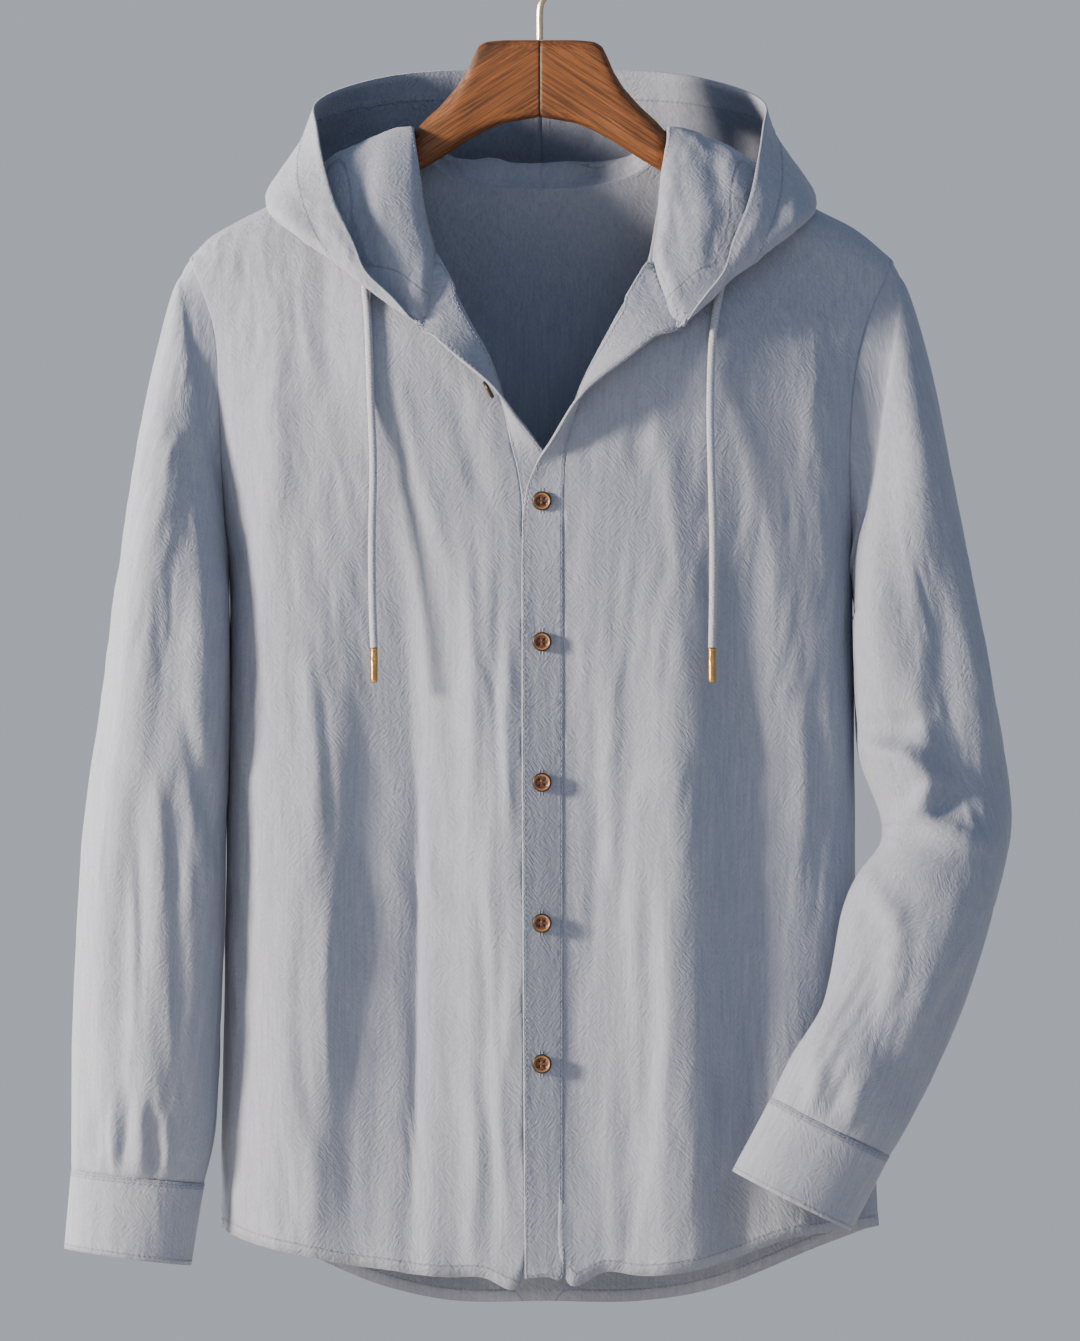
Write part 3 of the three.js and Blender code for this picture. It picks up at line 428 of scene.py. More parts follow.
def nearest_edge(frames, points):
    """For each point, how far in millimetres the nearest edge is, and which of its points is nearest."""
    every = np.concatenate([at for at, _, _ in frames])
    ends = np.concatenate([np.stack([np.roll(at, 1, 0), np.roll(at, -1, 0)], 1) for at, _, _ in frames])
    start = 0
    for at, _, _ in frames:
        ends[start, 0] = at[0]
        start += len(at)
        ends[start - 1, 1] = at[-1]
    tree = KDTree(len(every))
    for i, p in enumerate(every):
        tree.insert(p, i)
    tree.balance()
    found = np.array([tree.find(p)[1] for p in points])
    near = every[found]
    best = np.linalg.norm(points - near, axis=1)
    for k in range(2):
        span = ends[found, k] - near
        size = np.maximum((span * span).sum(1), 1e-18)
        t = np.clip(((points - near) * span).sum(1) / size, 0, 1)
        best = np.minimum(best, np.linalg.norm(points - near - span * t[:, None], axis=1))
    return best / MM, found


def gap_to(neighbours, at):
    """The way from each point to the nearest cloth of the neighbours, or none without neighbours."""
    sheets = [surface_of(bpy.data.objects[name].data) for name in neighbours]
    ways = np.zeros((len(at), 3))
    for k, p in enumerate(at):
        found = [sheet.find_nearest(Vector(p)) for sheet in sheets]
        if found:
            ways[k] = min(found, key=lambda hit: hit[3])[0] - Vector(p)
    for _ in range(GAP_SMOOTHING):
        wider = np.pad(ways, ((1, 1), (0, 0)), "edge")
        ways = (wider[:-2] + 2 * ways + wider[2:]) / 4
    return ways


def ramp(low, high, values):
    """Smooth rise from 0 at low to 1 at high."""
    t = np.clip((values - low) / (high - low), 0, 1)
    return t * t * (3 - 2 * t)


def beside_line(line, points):
    """How far each point is from a line of x and z, how far to its side and how far along it."""
    x, z = points[:, 0], points[:, 2]
    near = np.full(len(points), 1e9)
    across, along = np.zeros(len(points)), np.zeros(len(points))
    before = 0.0
    for (ax, az), (bx, bz) in zip(line, line[1:]):
        span = math.dist((ax, az), (bx, bz))
        dx, dz = (bx - ax) / span, (bz - az) / span
        t = np.clip((x - ax) * dx + (z - az) * dz, 0, span)
        off = np.hypot(x - ax - t * dx, z - az - t * dz)
        closer = off < near
        near = np.where(closer, off, near)
        across = np.where(closer, (x - ax) * dz - (z - az) * dx, across)
        along = np.where(closer, before + t, along)
        before += span
    return near, across, along


def creased(points, normals, table):
    """Height of the given creases at each point, in millimetres.

    A row is the side it lies on, -1 for the front, its height, its half width and its points' x and z."""
    height = np.zeros(len(points))
    for side, high, wide, *line in table:
        facing = ramp(*FACING, normals[:, 1] * side)
        near, _, along = beside_line(line, points / MM)
        share = along / sum(math.dist(a, b) for a, b in zip(line, line[1:]))
        swell = np.sin(math.pi * np.clip(share, 0.02, 0.98)) ** 0.6
        height += high * swell * facing * np.exp(-((near / (wide * (0.7 + 0.5 * swell))) ** 2))
    return height


def crinkle(weave, across, along, seed):
    """Uneven fine creases that run along the warp, from about -1 to 1."""
    out = np.empty(len(weave))
    for k, (x, y, z) in enumerate(weave):
        drift = noise.noise(Vector((x / 45, y / 45, z / 50 + seed))) * 9
        out[k] = noise.noise(Vector(((x + drift) / across, y / across, z / along + seed)))
    return out


def cloth_piece(name, thick, weave_of, table, rough, seed, held=None, ease=12.0, fold_ease=0.0,
                tucks=(), sewing=()):
    """A thin shell on a cloth node's form, with its creases and its crinkle, and the sewing on it.

    held tells beside which edges the crinkle eases off over ease, and the creases over fold_ease. A tuck
    is an edge that slips under its neighbour, with how far it goes, how deep, and the neighbours that it
    is brought to first. A row of sewing is an edge, how far in from it the needle runs, and whether its
    thread shows outside, inside or on both faces."""
    mesh = fine_grid(name, thick)
    points, normals = read_points(mesh), read_normals(mesh)
    frames = edge_frames(mesh, edge_lines(mesh, held))
    away = nearest_edge(frames, points)[0]
    calm = ramp(0, ease, away)
    fold_calm = ramp(0, fold_ease, away) if fold_ease else 1
    weave = weave_of(points / MM)
    patches = np.clip(crinkle(weave, *CRINKLE["patches"], seed + 7) * 1.6 + 0.45, 0, 1)
    fine = crinkle(weave, *CRINKLE["fine"], seed) * (0.35 + 1.1 * patches)
    sharp = 0.35 - np.abs(crinkle(weave, *CRINKLE["sharp"], seed + 5)) ** 0.8
    broad = crinkle(weave, *CRINKLE["broad"], seed + 3)
    height = rough * (fine + 1.1 * sharp * patches + 1.5 * broad)
    height = calm * height + fold_calm * creased(points, normals, table)
    moved = points + normals * (height * MM)[:, None]
    for wanted, shift, sink, neighbours in tucks:
        for edge in edge_frames(mesh, edge_lines(mesh, wanted)):
            away, found = nearest_edge([edge], points)
            give = 1 - ramp(0, TUCK_REACH, away)
            ways = gap_to(neighbours, edge[0]) + edge[2] * shift * MM
            moved += (ways[found] - normals * sink * MM) * give[:, None]
    rows = [(edge_lines(mesh, wanted), inset, faces) for wanted, inset, faces in sewing]
    write_points(mesh, moved)
    sewn = []
    seams = [np.full(len(points), SEAM_REACH) for _ in range(GROOVES)]
    grooves = 0
    for lines, inset, faces in rows:
        frames = edge_frames(mesh, lines)
        sewn += [(line, inset, faces) for line in frames]
        if faces != "inside":
            seams[grooves] = nearest_edge(frames, moved)[0] - inset
            grooves += 1
    for k, seam in enumerate(seams):
        mesh.attributes.new(f"seam_{k}", "FLOAT", "POINT").data.foreach_set("value", seam)
    mesh.attributes.new("weave", "FLOAT_VECTOR", "POINT").data.foreach_set("vector", weave.ravel())
    piece = finished(name + "_cloth", mesh, shirt_cloth, "shirt_cloth", name)
    if sewn:
        sew(name + "_sewing", mesh, thick, sewn)
    shell = piece.modifiers.new("wall", "SOLIDIFY")
    shell.thickness = thick * MM
    shell.offset = -1
    return piece


def sew(name, cloth, thick, rows):
    """Lays rows of lockstitches on the cloth beside its edges, as one joined mesh."""
    surface = surface_of(cloth)
    bm = bmesh.new()
    bmesh.ops.create_uvsphere(bm, u_segments=6, v_segments=4, radius=0.5,
                              matrix=Matrix.Diagonal((STITCH["thick"], STITCH["high"], STITCH["long"], 1)))
    one = mesh_from(bm, "stitch")
    bm = bmesh.new()
    for (at, _, off), inset, faces in rows:
        heights = {"outside": [STITCH["lift"]], "inside": [-thick - STITCH["lift"]]}
        heights["both"] = heights["outside"] + heights["inside"]
        line = at - off * inset * MM
        reach = np.concatenate([[0], np.cumsum(np.linalg.norm(np.diff(line, axis=0), axis=1))]) / MM
        places = np.arange(STITCH["pitch"] / 2, reach[-1], STITCH["pitch"])
        track = np.stack([np.interp(places, reach, line[:, k]) for k in range(3)], 1)
        ahead = np.stack([np.interp(places + 0.5, reach, line[:, k]) for k in range(3)], 1)
        for p, q in zip(track, ahead):
            spot, up, _, gap = surface.find_nearest(Vector(p))
            if spot is None or gap > STITCH["reach"] * MM:
                continue
            run = (Vector(q) - Vector(p)).normalized()
            side = run.cross(up).normalized()
            turn = Matrix((side, side.cross(run), run)).transposed().to_4x4()
            for height in heights[faces]:
                placed = one.copy()
                placed.transform(Matrix.Translation(spot + up * height * MM) @ turn @ Matrix.Scale(MM, 4))
                bm.from_mesh(placed)
                bpy.data.meshes.remove(placed)
    finished(name, mesh_from(bm, name), sewing_thread, "shirt_cloth")


# Spun polyester thread in the cloth's own blue, a little glossier than the cloth
sewing_thread, tree, shader = new_material("spun_sewing_thread")
lint = node(tree, "TexNoise", {}, {
    "Vector": node(tree, "TexCoord", {}, {})["Object"], "Scale": 1500.0, "Detail": 2.0})["Fac"]
tree.links.new(node(tree, "Mix", {"data_type": "RGBA"}, {
    0: lint, 6: linear("#6a7488"), 7: linear("#828da2")})[2], shader.inputs["Base Color"])
shader.inputs["Roughness"].default_value = 0.6

# Washed cotton and linen in plain weave: pale warp over slate-blue weft, slubs down the warp and a
# fine crepe crinkle at a slant. Threads are 0.4 mm apart and drawn 0.9 mm apart, so that they show.
THREAD = 0.9
SLUB = {"wide": 1.7, "long": 30.0}
CREPE = {"wide": 1.5, "long": 5.2, "slant": 38.0}
shirt_cloth, tree, shader = new_material("washed_cotton_linen")
weave = node(tree, "Attribute", {"attribute_name": "weave"}, {})["Vector"]
slub = node(tree, "TexNoise", {}, {
    "Vector": node(tree, "Mapping", {}, {
        "Vector": weave, "Scale": (1 / SLUB["wide"], 1 / SLUB["wide"], 1 / SLUB["long"])})["Vector"],
    "Scale": 1.0, "Detail": 3.0, "Roughness": 0.6})["Fac"]
slants = []
for turn in (CREPE["slant"], -CREPE["slant"]):
    slants.append(node(tree, "TexNoise", {}, {
        "Vector": node(tree, "Mapping", {"vector_type": "TEXTURE"}, {
            "Vector": weave, "Rotation": (0, math.radians(turn), 0),
            "Scale": (CREPE["wide"], CREPE["wide"], CREPE["long"])})["Vector"],
        "Scale": 1.0, "Detail": 2.0, "Roughness": 0.55})["Fac"])
patch = node(tree, "TexNoise", {}, {"Vector": weave, "Scale": 0.05, "Detail": 1.0})["Fac"]
crepe_relief_and_shade = node(tree, "Mix", {"data_type": "FLOAT"}, {
    0: node(tree, "MapRange", {}, {"Value": patch, "From Min": 0.4, "From Max": 0.6})["Result"],
    2: slants[0], 3: slants[1]})[0]
threads = node(tree, "TexNoise", {}, {
    "Vector": weave, "Scale": 1 / THREAD, "Detail": 1.0, "Roughness": 0.7})["Fac"]
tone = node(tree, "Mix", {"data_type": "RGBA"}, {
    0: node(tree, "MapRange", {}, {"Value": slub, "From Min": 0.3, "From Max": 0.7})["Result"],
    6: linear("#707b90"), 7: linear("#7d889c")})[2]
# Painted shade and light: the crepe crinkle is also overlaid on the colour, darker in its hollows and lighter
# on its ridges.
for share, over in ((0.16, threads), (0.15, crepe_relief_and_shade)):
    tone = node(tree, "Mix", {"data_type": "RGBA", "blend_type": "OVERLAY"}, {0: share, 6: tone, 7: over})[2]
rows = [node(tree, "Math", {"operation": "ABSOLUTE"}, {
    0: node(tree, "Attribute", {"attribute_name": f"seam_{k}"}, {})["Fac"]})[0] for k in range(GROOVES)]
seam = rows[0]
for row in rows[1:]:
    seam = node(tree, "Math", {"operation": "MINIMUM"}, {0: seam, 1: row})[0]
seam_groove_and_shade = node(tree, "MapRange", {"interpolation_type": "SMOOTHSTEP"}, {
    "Value": seam, "From Min": 0.1, "From Max": 0.9})["Result"]
# Painted shade: the cloth is made darker along each row of sewing, as shade in the seam's groove. The same
# mask also raises the groove's bump.
tone = node(tree, "Mix", {"data_type": "RGBA", "blend_type": "MULTIPLY"}, {
    0: node(tree, "MapRange", {}, {"Value": seam_groove_and_shade, "To Min": 0.35, "To Max": 0.0})["Result"],
    6: tone, 7: linear("#8d93a3")})[2]
tree.links.new(tone, shader.inputs["Base Color"])
shader.inputs["Roughness"].default_value = 0.9
shader.inputs["Specular IOR Level"].default_value = 0.25
shader.inputs["Sheen Weight"].default_value = 0.22
shader.inputs["Sheen Roughness"].default_value = 0.45
shader.inputs["Sheen Tint"].default_value = linear("#d6dbe6")
pucker = node(tree, "Math", {"operation": "MULTIPLY"}, {
    0: node(tree, "TexNoise", {}, {"Vector": weave, "Scale": 0.22, "Detail": 1.0})["Fac"],
    1: node(tree, "MapRange", {"interpolation_type": "SMOOTHSTEP"}, {
        "Value": seam, "From Min": 0.0, "From Max": 8.0, "To Min": 1.0, "To Max": 0.0})["Result"]})[0]
ripple = {}
for strength, deep, high in ((0.9, 0.0008, crepe_relief_and_shade), (0.6, 0.00016, slub), (0.6, 0.00012, threads),
                             (0.7, 0.0011, pucker), (0.7, 0.0003, seam_groove_and_shade)):
    ripple = {"Normal": node(tree, "Bump", {}, {
        "Strength": strength, "Distance": deep, "Height": high, **ripple})["Normal"]}
tree.links.new(ripple["Normal"], shader.inputs["Normal"])


def straight(points):
    """Cloth that hangs with its warp upright."""
    return points.copy()


BACK_CREASES = [
    (1, 4.8, 12, (-168, -300), (-172, -520), (-178, -760)),
    (1, -4.4, 10, (-128, -340), (-126, -560), (-134, -700)),
    (1, 4.0, 10, (-104, -420), (-110, -640), (-112, -840)),
    (1, -4.0, 12, (-66, -330), (-70, -480), (-66, -690)),
    (1, 4.8, 12, (-22, -320), (-18, -500), (-24, -600)),
    (1, -3.5, 8, (4, -520), (0, -700), (6, -880)),
    (1, 4.4, 12, (44, -330), (48, -520), (46, -800)),
    (1, -4.4, 10, (98, -340), (104, -540), (110, -660)),
    (1, 3.5, 10, (120, -560), (124, -720), (126, -860)),
    (1, 4.4, 12, (164, -320), (168, -540), (176, -780)),
    (1, -4.0, 10, (186, -420), (190, -600), (196, -800)),
    (1, -4.8, 15, (-150, -250), (-90, -300), (-40, -400)),
    (1, -4.4, 15, (150, -250), (100, -310), (60, -420)),
]


def above_hem(p):
    return p.z > -850


def hem(p):
    return p.z < -850 and abs(p.x) > 16


def back_neck(p):
    return abs(p.x) < 84 and p.z > -176


def back_lap(p):
    return abs(p.y) < 1.5 and p.z > -848


back = cloth_piece("back", CLOTH_THICK, straight, BACK_CREASES, 0.7, seed=11.0, held=above_hem,
                   tucks=[(back_lap, 1.6, 0.9, ()), (back_neck, 1.6, 0.7, ())],
                   sewing=[(hem, 8.0, "both"), (back_neck, 2.0, "inside")])

# Fronts
# Two panels that meet under the button band. The cloth falls in long soft folds from the shoulders,
# finely crinkled between them, and pulls a little towards the band.
FRONT_CREASES = [
    (-1, 12.0, 24, (-184, -300), (-178, -420), (-176, -600), (-172, -740), (-176, -910)),
    (-1, -17.0, 32, (-98, -360), (-84, -540), (-82, -740), (-88, -940)),
    (-1, 6.0, 20, (-132, -460), (-138, -560), (-138, -740), (-142, -920)),
    (-1, -7.0, 12, (-92, -420), (-86, -560), (-84, -740), (-88, -920)),
    (-1, 4.0, 8, (-48, -420), (-46, -560), (-46, -740), (-44, -900)),
    (-1, 4.5, 11, (-34, -380), (-32, -520), (-33, -700), (-31, -910)),
    (-1, 2.6, 9, (-128, -500), (-136, -600), (-132, -720)),
    (-1, 3.6, 11, (-15, -395), (-16, -600), (-15, -910)),
    (-1, -5.0, 13, (20, -390), (21, -600), (20, -910)),
    (-1, 6.5, 24, (92, -430), (96, -600), (102, -760), (100, -900)),
    (-1, -6.0, 17, (128, -330), (140, -480), (148, -640), (154, -820)),
    (-1, 7.5, 14, (180, -280), (188, -440), (192, -600), (190, -720)),
    (-1, 3.0, 8, (-176, -230), (-172, -330), (-168, -420)),
    (-1, -2.6, 8, (-146, -190), (-140, -260), (-134, -330)),
    (-1, 3.0, 8, (-120, -200), (-112, -290), (-104, -370)),
    (-1, 2.2, 4, (-152, -470), (-146, -540), (-148, -600)),
    (-1, -2.2, 4, (-142, -500), (-136, -580), (-140, -650)),
    (-1, 2.4, 4, (-136, -620), (-142, -700), (-138, -770)),
    (-1, -2.0, 4, (-152, -640), (-156, -720), (-150, -800)),
    (-1, 2.0, 6, (-92, -300), (-74, -380), (-52, -440)),
    (-1, -1.8, 6, (-66, -290), (-46, -350), (-26, -400)),
    (-1, 2.4, 4, (-48, -400), (-44, -500), (-46, -600)),
    (-1, -2.4, 3.5, (-26, -420), (-30, -500), (-24, -580)),
    (-1, 2.6, 3.5, (-20, -470), (-23, -540), (-19, -600)),
    (-1, 2.4, 4, (-30, -560), (-36, -640), (-30, -720)),
    (-1, -2.4, 4, (-40, -620), (-34, -700), (-38, -780)),
    (-1, -2.2, 3.5, (-22, -640), (-26, -710), (-22, -770)),
    (-1, 2.4, 4, (-20, -700), (-26, -780), (-22, -850)),
    (-1, 2.2, 4, (-46, -740), (-42, -810), (-46, -880)),
    (-1, -2.0, 4, (-32, -780), (-30, -830), (-34, -890)),
    (-1, 1.8, 5, (-112, -700), (-118, -780), (-116, -880)),
    (-1, 1.8, 5, (-150, -790), (-146, -830), (-150, -872)),
    (-1, -1.6, 4, (-168, -800), (-164, -840), (-166, -870)),
    (-1, 2.0, 5, (48, -470), (46, -560), (50, -640)),
    (-1, -1.8, 4, (36, -520), (38, -600), (34, -700)),
    (-1, 1.8, 5, (64, -560), (62, -640), (66, -720)),
    (-1, 2.2, 5, (80, -620), (84, -700), (80, -790)),
    (-1, -1.8, 5, (70, -640), (74, -730), (70, -800)),
    (-1, 2.0, 7, (70, -300), (84, -360), (92, -420)),
    (-1, 2.0, 4, (168, -470), (172, -560), (168, -640)),
    (-1, -1.8, 4, (180, -500), (184, -570), (180, -650)),
    (-1, 1.8, 6, (74, -740), (78, -800), (76, -870)),
    (-1, 1.6, 5, (48, -740), (46, -800), (50, -882)),
    (-1, -1.6, 6, (112, -700), (118, -770), (116, -850)),
]


def front_inner(p):
    return abs(p.x) < 114 and p.z > -880 and p.y < 2


for side in ("left", "right"):
    front = cloth_piece(f"front_{side}", CLOTH_THICK, straight, FRONT_CREASES, 0.75,
                        seed=23.0 if side == "left" else 31.0, held=above_hem,
                        tucks=[(front_inner, 2.2, 0.9 if side == "left" else 0.1, ())],
                        sewing=[(hem, 7.0, "outside")])

# Front bands
# A doubled strip of the same cloth on each front edge. The right one, with the buttonholes, lies on
# top of the left one, and above the first button both turn out as a small open corner.
BAND_THICK = 1.8
BUTTONHOLE = {"half": 1.0, "wide": 1.7, "high": 0.45, "long": 0.7, "pitch": 0.6, "bars": 14}
FRONT_BUTTONS = [f"button_{k}" for k in range(1, 6)]


def band_end(p):
    return p.z > -268 and abs(p.x) > 58


def under_band_edge(p):
    return p.x < -8 and p.z < -400


for side in ("left", "right"):
    tucks = [(band_end, 3.0, 0.2, ())] + ([(under_band_edge, -1.8, 0.8, ())] if side == "left" else [])
    band = cloth_piece(f"placket_{side}", BAND_THICK, straight, FRONT_CREASES, 0.16, seed=41.0, ease=5.0,
                       tucks=tucks, sewing=[(None, 1.5, "both")])
surface = surface_of(bpy.data.objects["placket_right_cloth"].data)
bm = bmesh.new()
for name in FRONT_BUTTONS:
    low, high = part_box(name)
    middle = (low + high) / 2
    for column in (-1, 1):
        for k in range(-BUTTONHOLE["bars"], BUTTONHOLE["bars"] + 1):
            place = middle + Vector((column * BUTTONHOLE["half"], 0, k * BUTTONHOLE["pitch"])) * MM
            spot, up, _, _ = surface.find_nearest(place)
            turn = up.to_track_quat("Y", "Z").to_matrix().to_4x4()
            size = Matrix.Diagonal((BUTTONHOLE["wide"], BUTTONHOLE["high"], BUTTONHOLE["long"], 1))
            bmesh.ops.create_uvsphere(bm, u_segments=6, v_segments=4, radius=0.5,
                                      matrix=Matrix.Translation(spot) @ turn @ Matrix.Scale(MM, 4) @ size)
finished("buttonholes", mesh_from(bm, "buttonholes"), sewing_thread, "shirt_cloth")

# Sleeves
# Long one-piece sleeves set in at the armholes. The left one hangs free, and the right one bends
# at the elbow and lies forward over the body.
SLEEVE_LINES = {
    "left": [(-221, -324), (-232, -400), (-246, -510), (-253, -580), (-256, -640), (-258, -696), (-260, -750),
             (-265, -824), (-271, -880)],
    "right": [(222, -335), (245, -440), (254, -515), (260, -557), (267, -592), (264, -612), (255, -631),
              (244, -660), (233, -694), (211, -750), (190, -788), (164, -838)],
}


def along_sleeve(side):
    """Gives the function that lays a sleeve out straight: across it, from front to back and along it."""
    def unbent(points):
        _, across, along = beside_line(SLEEVE_LINES[side], points)
        return np.stack([across, points[:, 1], -along], axis=1)

    return unbent


SLEEVE_CREASES = {
    "left": [
        (-1, 4.0, 12, (-250, -300), (-266, -420), (-280, -560)),
        (-1, -3.6, 10, (-226, -330), (-240, -440), (-252, -560)),
        (-1, 3.0, 8, (-220, -420), (-226, -500), (-228, -560)),
        (-1, -4.0, 5, (-233, -520), (-223, -575), (-212, -626)),
        (-1, 7.0, 12, (-214, -440), (-224, -560), (-229, -660), (-231, -770)),
        (-1, -3.0, 8, (-240, -560), (-240, -640), (-238, -720)),
        (-1, 4.5, 11, (-284, -540), (-292, -640), (-296, -740)),
        (-1, -4.0, 9, (-262, -560), (-272, -680), (-278, -790)),
        (-1, 4.5, 11, (-240, -520), (-246, -660), (-250, -800)),
        (-1, 2.2, 4, (-252, -560), (-248, -620), (-252, -690)),
        (-1, -2.2, 4, (-262, -600), (-260, -660), (-263, -720)),
        (-1, 2.2, 4, (-268, -620), (-266, -700), (-270, -760)),
        (-1, 2.0, 4, (-243, -640), (-246, -700), (-243, -760)),
        (-1, 2.6, 4, (-280, -770), (-279, -800), (-281, -818)),
        (-1, -2.4, 4, (-272, -760), (-271, -795), (-273, -819)),
        (-1, 2.6, 4, (-263, -775), (-262, -800), (-264, -820)),
        (-1, -2.4, 3.5, (-254, -770), (-253, -800), (-254, -821)),
        (-1, 2.2, 3.5, (-246, -782), (-245, -805), (-246, -822)),
        (-1, -2.0, 3.5, (-290, -780), (-291, -800), (-292, -817)),
        (1, 4.0, 12, (-240, -320), (-258, -450), (-264, -560)),
        (1, -3.6, 10, (-226, -440), (-240, -560), (-244, -660)),
        (1, 3.8, 10, (-280, -560), (-284, -660), (-286, -760)),
        (1, -3.2, 8, (-262, -640), (-268, -740), (-270, -815)),
        (1, 3.0, 7, (-246, -600), (-250, -680), (-252, -760)),
        (1, 2.4, 4, (-252, -760), (-252, -790), (-253, -818)),
        (1, -2.2, 4, (-240, -770), (-240, -795), (-241, -820)),
    ],
    "right": [
        (-1, 4.0, 12, (238, -290), (256, -380), (276, -480)),
        (-1, -3.6, 10, (222, -330), (234, -430), (250, -510)),
        (-1, 2.8, 8, (216, -380), (222, -460), (228, -520)),
        (-1, 9.0, 7, (212, -541), (238, -547), (257, -562), (250, -582), (224, -606)),
        (-1, -6.0, 9, (214, -528), (232, -530), (250, -522)),
        (-1, 5.0, 11, (204, -360), (210, -440), (214, -540)),
        (-1, -9.0, 15, (252, -370), (262, -450), (266, -540)),
        (-1, -8.0, 17, (272, -520), (275, -560), (262, -592)),
        (-1, 6.0, 8, (276, -400), (286, -480), (294, -560)),
        (-1, 7.0, 8, (246, -590), (270, -598), (292, -608)),
        (-1, 5.0, 8, (210, -622), (222, -640), (234, -662)),
        (-1, 8.0, 12, (294, -604), (277, -645), (262, -692), (243, -754)),
        (-1, -7.0, 8, (278, -680), (256, -728), (238, -784)),
        (-1, -6.0, 14, (222, -640), (216, -676), (218, -716), (226, -752)),
        (-1, 5.0, 10, (198, -700), (184, -734), (172, -764)),
        (-1, 1.4, 5, (236, -640), (228, -690), (216, -734)),
        (-1, -1.2, 5, (246, -650), (240, -700), (230, -748)),
        (-1, 2.4, 4, (186, -748), (180, -766), (174, -780)),
        (-1, -2.2, 4, (198, -752), (192, -772), (186, -786)),
        (-1, 2.2, 4, (210, -758), (204, -778), (199, -792)),
        (-1, -2.0, 3.5, (176, -744), (170, -758), (163, -772)),
        (1, 4.0, 12, (240, -320), (262, -440), (276, -520)),
        (1, -3.6, 10, (226, -400), (240, -500), (262, -560)),
        (1, -4.5, 9, (292, -560), (270, -600), (240, -610)),
        (1, 4.5, 8, (290, -590), (268, -622), (240, -640)),
        (1, 4.0, 10, (286, -620), (262, -690), (236, -750)),
        (1, -3.6, 8, (256, -660), (232, -716), (206, -760)),
        (1, 2.4, 4, (226, -740), (212, -764), (200, -786)),
    ],
}


def armhole(p):
    return p.z > -500


def sleeve_foot(p):
    return p.z < -500


for side in ("left", "right"):
    sleeve = cloth_piece(f"sleeve_{side}", CLOTH_THICK, along_sleeve(side), SLEEVE_CREASES[side], 0.75,
                         seed=53.0 if side == "left" else 61.0, ease=7.0, fold_ease=9.0,
                         tucks=[(armhole, 1.5, 0.7, (f"front_{side}_cloth", "back_cloth")),
                                (sleeve_foot, 2.5, 0.2, ())])

# Cuffs
# Doubled bands, 53 mm deep, that gather the sleeves' ends, with sewing just inside both edges.
cuff_tops = {"left": lambda p: p.z > -850, "right": lambda p: (p.z + 812) + 0.43 * (p.x - 190) > 0}
cuff_ends = {side: (lambda p, top=top: not top(p)) for side, top in cuff_tops.items()}
for side in ("left", "right"):
    cuff = cloth_piece(f"cuff_{side}", BAND_THICK, along_sleeve(side), [], 0.3, seed=71.0, ease=8.0,
                       sewing=[(cuff_tops[side], 1.4, "outside"), (cuff_tops[side], 3.4, "outside"),
                               (cuff_ends[side], 3.0, "outside")])

# Hood
# Two halves with a seam over the crown, open behind the neck. The rim has a stitched tunnel for the
# drawstring, and the cloth rolls over a soft crest where it leaves the neck seam.
HOOD_CREASES = [
    (-1, 3.1, 7, (-150, -190), (-132, -215), (-110, -240)),
    (-1, -3.1, 6, (-160, -180), (-140, -210), (-118, -238)),
    (-1, 2.7, 5, (-126, -110), (-120, -160), (-106, -200)),
    (-1, -3.1, 6, (-104, -150), (-98, -190), (-84, -230)),
    (-1, 3.1, 6, (-92, -140), (-86, -180), (-74, -220)),
    (-1, 3.1, 7, (152, -190), (134, -215), (114, -240)),
    (-1, -3.1, 6, (164, -176), (144, -208), (120, -238)),
    (-1, -3.1, 6, (104, -150), (98, -190), (88, -228)),
    (-1, 3.1, 6, (92, -140), (88, -180), (78, -220)),
    (1, 4.1, 9, (-60, -120), (-66, -190), (-56, -250)),
    (1, -4.1, 9, (-30, -120), (-34, -200), (-28, -280)),
    (1, 4.1, 9, (34, -120), (40, -190), (34, -270)),
    (1, -4.1, 9, (68, -120), (78, -180), (70, -240)),
    (1, 3.7, 8, (-110, -140), (-120, -190), (-104, -230)),
    (1, 3.7, 8, (112, -140), (122, -190), (108, -230)),
]


def hood_crown(p):
    return abs(p.x) < 0.8


def hood_rim(p):
    return abs(p.x) > 0.8 and (p.z > -128 or abs(p.x) > 92 or (p.y < -68 and abs(p.x) > 82))


def hood_neck(p):
    return not hood_crown(p) and not hood_rim(p)


for side in ("left", "right"):
    beside = (f"front_{side}_cloth", "back_cloth", f"placket_{side}_cloth")
    tucks = [(hood_neck, 0.8, 0.3, beside)] + ([(hood_crown, 1.4, 0.3, ())] if side == "left" else [])
    hood = cloth_piece(f"hood_{side}", CLOTH_THICK, straight, HOOD_CREASES, 0.6, seed=83.0, ease=10.0,
                       fold_ease=8.0, tucks=tucks,
                       sewing=[(hood_rim, 20.0, "both"), (hood_crown, 6.0, "inside"),
                               (hood_neck, 1.4, "both"), (hood_neck, 7.0, "inside")])

